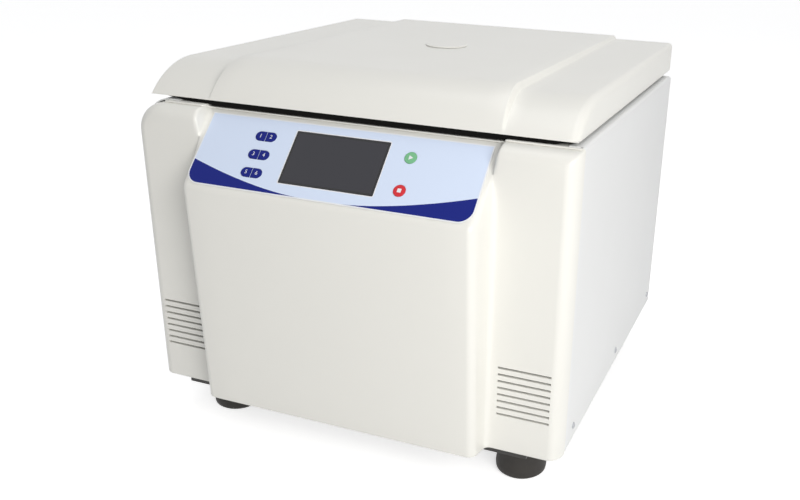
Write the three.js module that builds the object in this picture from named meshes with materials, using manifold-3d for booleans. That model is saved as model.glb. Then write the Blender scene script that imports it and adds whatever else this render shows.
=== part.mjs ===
// Bench-top high-speed centrifuge with a hinged lid and an angle rotor.
// Millimetres, +Z up, X to the user's right, Y from the front to the back.
// The model's origin is on the ground, under the centre of its overall box.
import * as THREE from 'three';
import { mergeVertices } from 'three/addons/utils/BufferGeometryUtils.js';
import Module from 'manifold-3d';

const wasm = await Module();
wasm.setup();

// Clearances
const clearance = 0.3; // between pieces that rest on or stand beside each other
const running = 0.12; // round a shaft or a pin that turns in its bore
const overrun = 4; // how far a cutting tool runs past the face that it cuts

// Cabinet. The front faces of the two columns are the plane y = 0
const bodyWidth = 450;
const bodyDepth = 415;
const bodyBottom = 51.5;
const bodyTop = 349.5;
const deckTop = 344.5;
const deckThickness = 2;
const deckFlange = 14;
const coverThickness = 1.5;
const coverBottom = 53.7;
const coverFlange = 12;
const seamY = 20;

// Upper corners of the cabinet, seen from the front. The covers follow them to the rear
const leftCornerRadius = 28;
const rightCornerRadius = 3;
const bodyCornerSteps = 6;
const cornerRadiusOf = (side) => (side > 0 ? rightCornerRadius : leftCornerRadius);

// Base plate and its side rails
const basePlateInset = 33; // from the cabinet's side in to the plate's edge
const basePlateHalfWidth = bodyWidth / 2 - basePlateInset;
const basePlateThickness = 4.7;
const railThickness = 2;
const railHeight = 30;
const screwHeight = 14.3; // above the lower edge of the cover
const screwFirstY = 46;
const screwLastInset = 16; // from the cabinet's rear to the last screw
const screwPitch = (bodyDepth - screwLastInset - screwFirstY) / 2;
const screwHeadRadius = 3.4;
const screwHeadHeight = 1.2;
const screwShankRadius = 1.8;
const screwHoleRadius = 2.3;

// Feet
const footInset = 21; // from the base plate's edge to a foot's middle
const footX = basePlateHalfWidth - footInset;
const footFrontY = 55;
const footRearInset = 50;
const footTopRadius = 23;
const footBellyRadius = 26;
const footSoleRadius = 21;
const footBellyHeight = 9;

// Moulded front: columns, control slope and the bulge below it
const fasciaWall = 3;
const fasciaBack = 30;
const edgeWidth = 12;
const edgeDepth = 18;
const slopeAngle = THREE.MathUtils.degToRad(45.7);
const slopeTopY = 20.7;
const slopeTopZ = 341.6;
const bulgeLean = THREE.MathUtils.degToRad(2.8);
const noseRadius = 10;
const noseShares = [0, 0.36, 0.7, 1];
const columnWidth = 75;
const bulgeHalfWidth = bodyWidth / 2 - columnWidth;
const bulgeCornerWidth = 8.5;
const bulgeCornerShare = 0.36;
const bulgeRootWidth = 6;
const bulgeRootShare = 0.24;
const bulgeWallWidth = 1.5;
const cheekFlare = 5; // how far the columns draw apart towards the top
const cheekFlareHeight = 25.5;
const wallFadeDepth = 8;

// Ventilation slots in the columns
const ventInset = 11.5; // from either edge of a column to its slots
const ventInnerX = bulgeHalfWidth + ventInset;
const ventOuterX = bodyWidth / 2 - ventInset;
const rearVentHalfWidth = 42.7;
const ventTop = 140.1;
const ventPitch = 6.95;
const ventCount = 8;
const ventHeight = 2.1;

// Control label on the slope, measured down the slope from its upper edge
const labelInset = 5.4;
const labelHalfWidth = bulgeHalfWidth - labelInset;
const labelLength = 77.4;
const labelThickness = 0.6;
const labelCornerRadius = 14;
const screenWidth = 95.9;
const screenHeight = 54.9;
const screenTop = 9.5;
const displayFrameWidth = 105.5;
const displayFrameHeight = 67;
const displayFrameDepth = 6;
const keyPairX = -78.4;
const keyRows = [19.6, 39.2, 58.5];
const keyWidth = 10.6;
const keyHeight = 9.8;
const keySplit = 0.9;
const keyProud = 0.5;
const keyStem = 5;
const keyTravel = 0.5;
const startX = 71.2;
const startDown = 22.1;
const stopDown = 55.4;
const roundButtonRadius = 5.8;
const keyReach = 91.4; // how far out a board has to run behind the keys
const boardHalfWidth = (labelHalfWidth + keyReach) / 2;
const boardMargin = 5;
const boardThickness = 1.6;
const standoffRadius = 3;
const switchRadius = 2.6;

// Chamber. The spindle's axis is chamberY behind the columns' front faces
const bowlWidthShare = 0.18; // how much of the cabinet's width and depth goes to the bowl's radius
const bowlDepthShare = 0.3;
const bowlMargin = 77.5;
const bowlRearGap = 39.5;
const bowlRadius = bodyWidth * bowlWidthShare + bodyDepth * bowlDepthShare - bowlMargin;
const chamberY = bodyDepth - bowlRearGap - bowlRadius;
const bowlWall = 1.2;
const bowlBottom = 185;
const bowlBendRadius = 22;
const bowlRimWidth = 9;
const bowlHoleRadius = 30;
const gasketWidth = 8;
const gasketFoot = 3;
const guardGap = 7;
const guardWall = 8;

// Drive
const motorPlateTop = 166;
const motorPlateThickness = 6;
const motorPlateMargin = 18; // round the bowl
const motorPlateHalfWidth = bowlRadius + motorPlateMargin;
const railFootShare = 12 / 23; // of the way from the base plate's edge in to the motor's plate
const railFoot = (basePlateHalfWidth - motorPlateHalfWidth) * railFootShare;
const legWidth = 20;
const plateHoleRadius = 32;
const motorFlangeRadius = 62;
const motorFlangeThickness = 7;
const motorRadius = 52;
const motorHeight = 78;
const damperHeight = 19;
const damperRadius = 11;
const damperCircle = 47;
const damperWaist = 2;
const spindleRadius = 8;
const spindleDepth = 45;
const collarRadius = 14;
const collarHeight = 8;
const bootWall = 4;

// Angle rotor
const rotorBottom = 205;
const rotorGap = 13; // from the rotor's belt to the bowl
const rotorUndercut = 33;
const rotorTaper = 12;
const rotorRadius = bowlRadius - rotorGap;
const rotorBaseRadius = rotorRadius - rotorUndercut;
const rotorRimRadius = rotorRadius - rotorTaper;
const rotorRimTop = 312;
const rotorShoulder = 34; // from the rim's top down to the widest belt
const rotorBeltHeight = 42;
const pocketCount = 6;
const pocketTilt = THREE.MathUtils.degToRad(25);
const pocketMouthShare = 0.46875; // of the bowl's radius
const pocketDepthShare = 1.3; // of the radius at which the pockets' mouths lie
const hubShare = 0.4;
const pocketMouthRadius = bowlRadius * pocketMouthShare;
const pocketRadius = pocketMouthRadius / 4;
const pocketDepth = pocketMouthRadius * pocketDepthShare;
const hubRadius = pocketMouthRadius * hubShare;
const hubProud = 8.84; // above the dished top where it meets the hub
const hubTop = rotorRimTop - (rotorRimRadius - hubRadius) * Math.tan(pocketTilt) + hubProud;
const nutShare = 0.75;
const nutRadius = hubRadius * nutShare;
const nutHeight = 22;
const nutGrooves = 12;
const nutGrooveRadius = 2;
const studRadius = 4;
const studLength = 14;

// Lid
const lidSideInset = 7;
const lidOverhang = 28; // behind the cabinet's rear face
const lidHalfWidth = bodyWidth / 2 - lidSideInset;
const lidFront = 20.3;
const lidRear = bodyDepth + lidOverhang;
const lidGap = 3.5; // over the moulded front
const lidSideThickness = 29.6;
const lidBottom = bodyTop + lidGap;
const lidSideTop = lidBottom + lidSideThickness;
const lidSideRise = 3.4;
const lidCentreThickness = 35.7;
const lidCentreTop = lidBottom + lidCentreThickness;
const lidCentreRise = 1.3;
const lidLip = 0.6;
const lidWall = 3;
const lidSideArc = 90;
const lidCentreArc = 64;
const lidCentreInset = 1.5; // from the bulge's side in to the raised middle's edge
const lidCentreHalfWidth = bulgeHalfWidth - lidCentreInset;
const lidCentreTaper = 4; // how far the raised middle draws in from the front
const lidTaperLength = 45;
const lidStepWidth = 4;
const lidLeftRadius = 1.5;
const lidRightRadius = 9;
const lidRearRadius = 3;
const linerThickness = 2;
const linerInset = lidWall + clearance;
const linerFrontGap = 17;
const linerGap = 1; // from the lid's lower edge up to the liner
const linerBossInset = 4;
const linerBossRadius = bowlRadius - linerBossInset;
const linerBossDepth = 6;
const capRadius = 23;
const capProud = 1.6;
const capStemRadius = 20;
const capStemLength = 7;

// Hinges behind the cabinet
const hingeInset = 78; // from the lid's side in to a hinge's middle
const hingeX = lidHalfWidth - hingeInset;
const hingeSetback = 15; // from the cabinet's rear face back to the pin
const hingeDrop = 9; // from the lid's lower edge down to the pin
const hingePinRadius = 3;
const hingeKnuckleRadius = 7;
const hingeArmHalfWidth = 16;
const hingeEarThickness = 6;
const hingePlateThickness = 3.5;
const hingePlateHeight = 42;

// Lid lock under the deck
const strikerY = 66;
const strikerThickness = 5;
const strikerHalfWidth = 9;
const strikerDrop = 30; // below the deck's top face
const strikerBar = 5;
const boltHalfWidth = 2.5;
const boltHeight = 7;
const boltTravel = 12;
const lockHalfWidth = 24;
const lockLength = 26;
const lockHeight = 34;
const lockSetback = 3; // from the lock's face to the striker

// Electrical pieces on the rear cover
const fanInset = 85; // from the cabinet's side in to the fan's axis
const fanX = fanInset - bodyWidth / 2;
const fanZ = 140;
const fanSize = 80;
const fanDepth = 15;
const fanBoreRadius = 37;
const fanHubRadius = 15;
const fanBlades = 7;
const fanBladeTilt = THREE.MathUtils.degToRad(38);
const fanBladeThickness = 1.6;
const fanSpoke = 4;
const guardWire = 2.2;
const guardRings = 3;
const inletInset = 75;
const inletX = bodyWidth / 2 - inletInset;
const inletZ = 110;
const inletWidth = 27.6;
const inletHeight = 19.8;
const inletFlange = 5;
const inletFlangeThickness = 2.5;
const inletDepth = 20;
const inletWall = 2;
const inletPinLength = 10;
const inletPinWidth = 3;
const switchRise = 42; // from the inlet up to the mains switch
const switchWidth = 27;
const switchHeight = 21;
const switchDepth = 16;
const switchBezel = 2;
const rockerProud = 3;
const rockerTilt = THREE.MathUtils.degToRad(8);
const fuseRise = 78;
const fuseRadius = 7.5;
const fuseLength = 9;
const bayBoxGap = 16.3; // from the motor's plate out to a box
const bayBoxDepth = 170;
const bayBoxHeight = 95;

// Places that follow from the sizes
const halfWidth = bodyWidth / 2;
const hingeY = bodyDepth + hingeSetback;
const hingeZ = lidBottom - hingeDrop;
const linerBottom = lidBottom + linerGap;
const baseTop = bodyBottom - clearance;
const baseBottom = baseTop - basePlateThickness;
const coverTop = bodyTop + coverThickness / 3;
const coverInner = halfWidth - coverThickness;
const rearInner = bodyDepth - coverThickness;
const platePatchBottom = motorPlateTop - motorPlateThickness;

// Finishes
const finish = (color, roughness, metalness = 0) => new THREE.MeshStandardMaterial({
  color,
  roughness,
  metalness,
});
const creamPlastic = finish(0xecebe4, 0.42);
const whiteSteel = finish(0xe9eaea, 0.45);
const labelBlue = finish(0xd5e2f4, 0.35);
const darkScreen = finish(0x424248, 0.2);
const keyBlue = finish(0x1f2a80, 0.4);
const startGreen = finish(0x7fbf8c, 0.4);
const stopRed = finish(0xd8232e, 0.4);
const blackRubber = finish(0x24221f, 0.85);
const greyRubber = finish(0x3a3a3c, 0.8);
const stainless = finish(0xc4c6c8, 0.28, 1);
const rawSteel = finish(0x8d8f92, 0.45, 1);
const blackSteel = finish(0x2b2a28, 0.55, 0.3);
const anodised = finish(0x33363a, 0.4, 0.8);
const boardGreen = finish(0x1d5b36, 0.5);
const blackPlastic = finish(0x1b1b1c, 0.5);

// Geometry helpers

/** Keeps only merged positions, with the faces turned to point outwards. */
function closed(geometry) {
  const bare = geometry.clone();
  bare.deleteAttribute('normal');
  bare.deleteAttribute('uv');
  const merged = mergeVertices(bare, 1e-4);
  const index = merged.index.array;
  if (signedVolume(merged) < 0) {
    for (let i = 0; i < index.length; i += 3) {
      [index[i], index[i + 1]] = [index[i + 1], index[i]];
    }
  }
  return merged;
}

/** Volume of a closed mesh, negative where its faces point inwards. */
function signedVolume(geometry) {
  const position = geometry.attributes.position;
  const index = geometry.index.array;
  const [a, b, c] = [new THREE.Vector3(), new THREE.Vector3(), new THREE.Vector3()];
  let volume = 0;
  for (let i = 0; i < index.length; i += 3) {
    a.fromBufferAttribute(position, index[i]);
    b.fromBufferAttribute(position, index[i + 1]);
    c.fromBufferAttribute(position, index[i + 2]);
    volume += a.dot(b.cross(c)) / 6;
  }
  return volume;
}

/** Turns a closed geometry into a solid that can be joined and cut. */
function solid(geometry) {
  const merged = closed(geometry);
  const vertProperties = new Float32Array(merged.attributes.position.array);
  const triVerts = new Uint32Array(merged.index.array);
  return new wasm.Manifold(new wasm.Mesh({ numProp: 3, vertProperties, triVerts }));
}

/** Gives a solid back as a geometry. */
function geometryOf(shape) {
  const mesh = shape.getMesh();
  const geometry = new THREE.BufferGeometry();
  geometry.setAttribute('position', new THREE.BufferAttribute(new Float32Array(mesh.vertProperties), 3));
  geometry.setIndex(new THREE.BufferAttribute(new Uint32Array(mesh.triVerts), 1));
  return geometry;
}

/** Joins some geometries, then cuts others away. */
function carve(joined, cuts = []) {
  let shape = solid(joined[0]);
  for (const extra of joined.slice(1)) shape = shape.add(solid(extra));
  for (const cut of cuts) shape = shape.subtract(solid(cut));
  return geometryOf(shape);
}

/** A box between two corners. */
function block(x0, x1, y0, y1, z0, z1) {
  const box = new THREE.BoxGeometry(x1 - x0, y1 - y0, z1 - z0);
  return box.translate((x0 + x1) / 2, (y0 + y1) / 2, (z0 + z1) / 2);
}

/** A cylinder along Z from z0 to z1. */
function post(radius, z0, z1, x = 0, y = 0, sides = 24) {
  const cylinder = new THREE.CylinderGeometry(radius, radius, z1 - z0, sides);
  return cylinder.rotateX(Math.PI / 2).translate(x, y, (z0 + z1) / 2);
}

/** A cylinder along X from x0 to x1. */
function bar(radius, x0, x1, y, z, sides = 20) {
  const cylinder = new THREE.CylinderGeometry(radius, radius, x1 - x0, sides);
  return cylinder.rotateZ(Math.PI / 2).translate((x0 + x1) / 2, y, z);
}

/** A cylinder along Y from y0 to y1. */
function plug(radius, y0, y1, x, z, sides = 24) {
  const cylinder = new THREE.CylinderGeometry(radius, radius, y1 - y0, sides);
  return cylinder.translate(x, (y0 + y1) / 2, z);
}

/** A profile of [radius, height] points turned round the Z axis. */
function turned(points, sides = 48, closesOnItself = false) {
  const profile = points.map(([radius, height]) => new THREE.Vector2(radius, height));
  if (closesOnItself) profile.push(profile[0].clone());
  return new THREE.LatheGeometry(profile, sides).rotateX(Math.PI / 2);
}

/** Points of an arc round (cx, cy), from one angle to another. */
function arc(cx, cy, radius, from, to, steps) {
  return Array.from({ length: steps + 1 }, (_, i) => {
    const angle = from + ((to - from) * i) / steps;
    return [cx + radius * Math.cos(angle), cy + radius * Math.sin(angle)];
  });
}

function shapeOf(points) {
  return new THREE.Shape(points.map(([x, y]) => new THREE.Vector2(x, y)));
}

/** An outline in X and Z carried along Y. */
function alongY(points, y0, y1) {
  const geometry = new THREE.ExtrudeGeometry(shapeOf(points), { depth: y1 - y0, bevelEnabled: false });
  return geometry.rotateX(Math.PI / 2).translate(0, y1, 0);
}

/** An outline in Y and Z carried along X. */
function alongX(points, x0, x1) {
  const geometry = new THREE.ExtrudeGeometry(shapeOf(points), { depth: x1 - x0, bevelEnabled: false });
  const basis = new THREE.Matrix4().makeBasis(
    new THREE.Vector3(0, 1, 0),
    new THREE.Vector3(0, 0, 1),
    new THREE.Vector3(1, 0, 0),
  );
  return geometry.applyMatrix4(basis).translate(x0, 0, 0);
}

/** An outline in X and Y carried up Z. */
function upZ(points, z0, z1) {
  const geometry = new THREE.ExtrudeGeometry(shapeOf(points), { depth: z1 - z0, bevelEnabled: false });
  return geometry.translate(0, 0, z0);
}

/**
 * A closed solid between a curved sheet and its flat shadow.
 * face(i, j) and shadow(i, j) give the points of two grids of the same size.
 */
function sheetSolid(columns, rows, face, shadow) {
  const positions = [];
  const indices = [];
  const at = (side, i, j) => side * columns * rows + j * columns + i;
  for (const side of [face, shadow]) {
    for (let j = 0; j < rows; j += 1) {
      for (let i = 0; i < columns; i += 1) positions.push(...side(i, j));
    }
  }
  const quad = (a, b, c, d) => indices.push(a, b, c, a, c, d);
  for (let j = 0; j < rows - 1; j += 1) {
    for (let i = 0; i < columns - 1; i += 1) {
      quad(at(0, i, j), at(0, i + 1, j), at(0, i + 1, j + 1), at(0, i, j + 1));
      quad(at(1, i, j), at(1, i, j + 1), at(1, i + 1, j + 1), at(1, i + 1, j));
    }
  }
  for (let i = 0; i < columns - 1; i += 1) {
    quad(at(0, i, 0), at(1, i, 0), at(1, i + 1, 0), at(0, i + 1, 0));
    quad(at(0, i + 1, rows - 1), at(1, i + 1, rows - 1), at(1, i, rows - 1), at(0, i, rows - 1));
  }
  for (let j = 0; j < rows - 1; j += 1) {
    quad(at(0, 0, j + 1), at(1, 0, j + 1), at(1, 0, j), at(0, 0, j));
    quad(at(0, columns - 1, j), at(1, columns - 1, j), at(1, columns - 1, j + 1), at(0, columns - 1, j + 1));
  }
  const geometry = new THREE.BufferGeometry();
  geometry.setAttribute('position', new THREE.Float32BufferAttribute(positions, 3));
  geometry.setIndex(indices);
  return geometry;
}

/** Adds one named piece to a group. */
function add(group, name, geometry, material) {
  const mesh = new THREE.Mesh(closed(geometry), material.clone());
  mesh.name = name;
  group.add(mesh);
  return mesh;
}

const sides = [['left', -1], ['right', 1]];
const clamp = THREE.MathUtils.clamp;

// Moulded front

const noseSetback = noseRadius * Math.tan((Math.PI / 2 - slopeAngle + bulgeLean) / 2);
const noseDown = labelLength + noseSetback;
const noseY = slopeTopY - noseDown * Math.cos(slopeAngle);
const noseZ = slopeTopZ - noseDown * Math.sin(slopeAngle);
const noseStartZ = noseZ + noseSetback * Math.sin(slopeAngle);
const noseEndZ = noseZ - noseSetback * Math.cos(bulgeLean);
const noseCentreY = noseY + noseSetback * Math.sin(bulgeLean) + noseRadius * Math.cos(bulgeLean);
const noseCentreZ = noseEndZ + noseRadius * Math.sin(bulgeLean);

/** How far back the centre of the front lies at a height: bulge, nose, then control slope. */
function centreProfile(z) {
  if (z >= noseStartZ) return slopeTopY - (slopeTopZ - z) / Math.tan(slopeAngle);
  if (z <= noseEndZ) return noseY + (noseZ - z) * Math.tan(bulgeLean);
  const height = clamp((z - noseCentreZ) / noseRadius, -1, 1);
  return noseCentreY - noseRadius * Math.sqrt(1 - height * height);
}

/** Share of the way from the bulge's face (0) to the columns' face (1) across the bulge's side. */
function cheekShare(offset) {
  const cornerEnd = bulgeCornerWidth;
  const wallEnd = cornerEnd + bulgeWallWidth;
  if (offset <= 0) return 0;
  if (offset <= cornerEnd) {
    const along = offset / bulgeCornerWidth;
    return bulgeCornerShare * (1 - Math.sqrt(1 - along * along));
  }
  if (offset <= wallEnd) {
    const along = (offset - cornerEnd) / bulgeWallWidth;
    return bulgeCornerShare + along * (1 - bulgeCornerShare - bulgeRootShare);
  }
  const left = clamp((wallEnd + bulgeRootWidth - offset) / bulgeRootWidth, 0, 1);
  return 1 - bulgeRootShare * (1 - Math.sqrt(1 - left * left));
}

/** Distance inside the front's outline, whose upper corners are round. */
function outlineDepth(x, z, half, top, radius) {
  const qx = Math.abs(x) - (half - radius);
  const qz = z - (top - radius);
  const flat = Math.min(half - Math.abs(x), top - z);
  return qx > 0 && qz > 0 ? radius - Math.hypot(qx, qz) : flat;
}

/** The front as a closed solid, drawn in from the outside by an inset, back to a plane. */
function frontSolid(inset, back) {
  const half = halfWidth - inset;
  const top = bodyTop - inset;
  const bottom = bodyBottom + inset;
  const centreTop = deckTop - inset;
  const cornerSteps = 3;
  const edgeSteps = 4;
  const flareStart = bodyTop - cheekFlareHeight;
  const cheekStart = bulgeHalfWidth - bulgeCornerWidth - bulgeWallWidth / 2;
  const cheekWidth = bulgeCornerWidth + bulgeWallWidth + bulgeRootWidth;
  const quarter = (step, count) => Math.sin((step / count) * (Math.PI / 2));
  const cheekOffsets = [0];
  for (let s = 1; s <= cornerSteps; s += 1) {
    cheekOffsets.push(bulgeCornerWidth * quarter(s, cornerSteps));
  }
  for (let s = cornerSteps - 1; s >= 0; s -= 1) {
    const rootEnd = bulgeCornerWidth + bulgeWallWidth + bulgeRootWidth;
    cheekOffsets.push(rootEnd - bulgeRootWidth * quarter(s + 1, cornerSteps));
  }
  cheekOffsets.push(cheekWidth);
  const rowHeights = [bottom];
  for (const share of noseShares) rowHeights.push(noseCentreZ + share * (noseStartZ - noseCentreZ));
  rowHeights.push(flareStart - (flareStart - noseZ) / 3, flareStart);
  const upperRows = 3;
  for (let s = 1; s < upperRows; s += 1) {
    rowHeights.push(flareStart + ((bodyTop - edgeWidth - flareStart) * s) / upperRows);
  }
  for (let s = 0; s <= edgeSteps; s += 1) {
    rowHeights.push(top - (edgeWidth - inset) * (1 - quarter(s, edgeSteps)));
  }
  const outerAt = (z, radius) => {
    const rise = clamp(z - (top - radius), 0, radius);
    return half - radius + Math.sqrt(radius * radius - rise * rise);
  };
  const columnsOfHalf = 1 + cheekOffsets.length + 1 + edgeSteps;
  const place = (column, row, radius) => {
    const nominal = rowHeights[row];
    const rise = Math.max(nominal - flareStart, 0) / cheekFlareHeight;
    const flare = cheekFlare * rise * rise;
    const slope = centreProfile(nominal + 1 / 2) - centreProfile(nominal - 1 / 2);
    const centreY = centreProfile(nominal);
    const shift = inset * clamp(-centreY / wallFadeDepth, -1, 1);
    const start = cheekStart + flare - shift;
    const outer = outerAt(nominal, radius);
    let x = 0;
    if (column >= 1) x = start + (cheekOffsets[Math.min(column, cheekOffsets.length) - 1] ?? 0);
    if (column > cheekOffsets.length) {
      const step = column - cheekOffsets.length - 1;
      x = outer - (edgeWidth - inset) * (1 - quarter(step, edgeSteps));
    }
    const share = cheekShare(x - start);
    const stretched = Math.max(nominal - flareStart, 0) / (top - flareStart);
    const z = nominal - (1 - share) * stretched * (top - centreTop);
    const depth = outlineDepth(x, nominal, half, top, radius);
    const edge = clamp((edgeWidth - inset - depth) / (edgeWidth - inset), 0, 1);
    const columnY = (edgeDepth - inset) * (1 - Math.sqrt(1 - edge * edge)) + inset;
    const centre = centreProfile(z) + inset * Math.sqrt(1 + slope * slope);
    return [x, centre + (columnY - centre) * share, z];
  };
  const columns = 2 * columnsOfHalf - 1;
  const mirrored = (i, j) => {
    const offset = i - (columnsOfHalf - 1);
    const radius = Math.max(cornerRadiusOf(offset) - inset, 0);
    const [x, y, z] = place(Math.abs(offset), j, radius);
    return [Math.sign(offset) * x, y, z];
  };
  const shadow = (i, j) => {
    const [x, , z] = mirrored(i, j);
    return [x, back, z];
  };
  return sheetSolid(columns, rowHeights.length, mirrored, shadow);
}

/** Turns a geometry from the slope's own frame into the cabinet's frame. */
function onSlope(geometry) {
  return geometry.rotateX(slopeAngle).translate(0, slopeTopY, slopeTopZ);
}

/** One half of a split pill key, grown by a margin all round. */
function keyOutline(column, row, margin = 0) {
  const radius = keyHeight / 2 + margin;
  const y = -keyRows[row];
  const flat = keyPairX + column * (keySplit / 2 - margin);
  const centre = keyPairX + column * (keySplit / 2 + keyWidth - keyHeight / 2);
  const turn = column > 0 ? 0 : Math.PI;
  const round = arc(centre, y, radius, turn - Math.PI / 2, turn + Math.PI / 2, 8);
  const start = round[0][1];
  const end = round[round.length - 1][1];
  return [[flat, start], ...round, [flat, end]];
}

const roundButtons = [['start_button', startDown, startGreen], ['stop_button', stopDown, stopRed]];
const keyPlaces = keyRows.flatMap((_, row) => [[-1, row], [1, row]]);

/** Cutters through the slope for the keys and the round buttons. */
function buttonCuts(low, high) {
  const cuts = keyPlaces.map(([column, row]) => upZ(keyOutline(column, row, clearance), low, high));
  for (const [, down] of roundButtons) {
    cuts.push(post(roundButtonRadius + clearance, low, high, startX, -down, 24));
  }
  return cuts;
}

function frontFascia() {
  const shell = frontSolid(0, fasciaBack);
  const hollow = frontSolid(fasciaWall, fasciaBack + overrun);
  const cuts = [hollow];
  for (const [, side] of sides) {
    const inner = side * (coverInner - clearance);
    const outer = side * (halfWidth + overrun);
    const [x0, x1] = [Math.min(inner, outer), Math.max(inner, outer)];
    const rebate = coverOutline(side, clearance);
    cuts.push(block(x0, x1, seamY, fasciaBack + overrun, 0, coverTop - cornerRadiusOf(side)));
    cuts.push(alongY(rebate, seamY, fasciaBack + overrun));
    for (let i = 0; i < ventCount; i += 1) {
      const z = ventTop - i * ventPitch;
      const [v0, v1] = side > 0 ? [ventInnerX, ventOuterX] : [-ventOuterX, -ventInnerX];
      cuts.push(block(v0, v1, -overrun, fasciaWall + overrun, z - ventHeight / 2, z + ventHeight / 2));
    }
  }
  const screenHalf = screenWidth / 2 + clearance;
  const windowTop = -screenTop + clearance;
  const windowBottom = -screenTop - screenHeight - clearance;
  const through = -fasciaWall - overrun;
  cuts.push(onSlope(block(-screenHalf, screenHalf, windowBottom, windowTop, through, overrun)));
  for (const cut of buttonCuts(through, overrun)) cuts.push(onSlope(cut));
  return carve([shell], cuts);
}

function labelOutline() {
  const lower = -labelLength;
  const inner = labelHalfWidth - labelCornerRadius;
  const level = lower + labelCornerRadius;
  return [
    [-labelHalfWidth, 0],
    ...arc(-inner, level, labelCornerRadius, Math.PI, (3 * Math.PI) / 2, 6),
    ...arc(inner, level, labelCornerRadius, -Math.PI / 2, 0, 6),
    [labelHalfWidth, 0],
  ];
}

function buildControls(machine) {
  const panel = new THREE.Group();
  panel.position.set(0, slopeTopY, slopeTopZ);
  panel.rotation.x = slopeAngle;
  machine.add(panel);
  const labelBase = clearance;
  const labelFace = labelBase + labelThickness;
  const screenHalf = screenWidth / 2;
  const screenBottom = -screenTop - screenHeight;
  const windowCut = block(
    -screenHalf - clearance,
    screenHalf + clearance,
    screenBottom - clearance,
    -screenTop + clearance,
    labelBase - overrun,
    labelFace + overrun,
  );
  const cuts = [windowCut, ...buttonCuts(labelBase - overrun, labelFace + overrun)];
  add(panel, 'control_label', carve([upZ(labelOutline(), labelBase, labelFace)], cuts), labelBlue);

  const frameTop = -fasciaWall - clearance;
  const frameBottom = frameTop - displayFrameDepth;
  const frameMiddle = -screenTop - screenHeight / 2;
  const glass = block(-screenHalf, screenHalf, screenBottom, -screenTop, frameTop - 1, labelFace);
  const frame = block(
    -displayFrameWidth / 2,
    displayFrameWidth / 2,
    frameMiddle - displayFrameHeight / 2,
    frameMiddle + displayFrameHeight / 2,
    frameBottom,
    frameTop,
  );
  add(panel, 'display_module', carve([frame, glass]), darkScreen);

  const boardTop = frameBottom - clearance;
  const boardLower = -labelLength + boardMargin;
  const stemBottom = labelFace + keyProud - keyStem - keyTravel;
  const switchTop = stemBottom - keyTravel - clearance / 3;
  const pieces = [block(-boardHalfWidth, boardHalfWidth, boardLower, -boardMargin, boardTop - boardThickness, boardTop)];
  for (const [, side] of sides) {
    for (const y of [boardLower + boardMargin, -2 * boardMargin]) {
      const x = side * (boardHalfWidth - boardMargin);
      pieces.push(post(standoffRadius, boardTop - boardThickness, frameTop, x, y, 12));
    }
  }
  for (const [column, row] of keyPlaces) {
    const x = keyPairX + (column * (keySplit + keyWidth)) / 2;
    pieces.push(post(switchRadius, boardTop - boardThickness, switchTop, x, -keyRows[row], 8));
  }
  for (const [, down] of roundButtons) {
    pieces.push(post(switchRadius, boardTop - boardThickness, switchTop, startX, -down, 8));
  }
  add(panel, 'control_board', carve(pieces), boardGreen);

  keyPlaces.forEach(([column, row], index) => {
    const key = upZ(keyOutline(column, row), stemBottom, labelFace + keyProud);
    add(panel, `program_key_${index + 1}`, key, keyBlue);
  });
  for (const [name, down, material] of roundButtons) {
    const top = labelFace + keyProud;
    const button = turned([
      [0, stemBottom],
      [roundButtonRadius, stemBottom],
      [roundButtonRadius, top - keyProud / 2],
      [roundButtonRadius - keyProud, top],
      [0, top],
    ], 24);
    add(panel, name, button.translate(startX, -down, 0), material);
  }
}

// Cabinet

/** Side cover in X and Z, a wall with a folded top flange, grown by a margin all round. */
function coverOutline(side, margin = 0) {
  const radius = cornerRadiusOf(side);
  const corner = (size, from, to) => arc(
    halfWidth - radius,
    coverTop - radius,
    size,
    from,
    to,
    bodyCornerSteps,
  );
  const outer = corner(radius + margin, 0, Math.PI / 2);
  const inner = corner(radius - coverThickness - margin, Math.PI / 2, 0);
  const lip = halfWidth - radius - coverFlange - margin;
  const points = [
    [halfWidth + margin, coverBottom],
    ...outer,
    [lip, coverTop + margin],
    [lip, coverTop - coverThickness - margin],
    ...inner,
    [coverInner - margin, coverBottom],
  ];
  return side > 0 ? points : points.map(([x, z]) => [-x, z]).reverse();
}

/** How far out the deck reaches below the corner of a side cover. */
function deckReach(side) {
  const radius = cornerRadiusOf(side);
  const inner = (radius - coverThickness) * Math.cos(Math.PI / 4 / bodyCornerSteps);
  const rise = clamp(deckTop - (coverTop - radius), 0, inner);
  return halfWidth - radius + Math.sqrt(inner * inner - rise * rise) - clearance;
}

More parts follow.
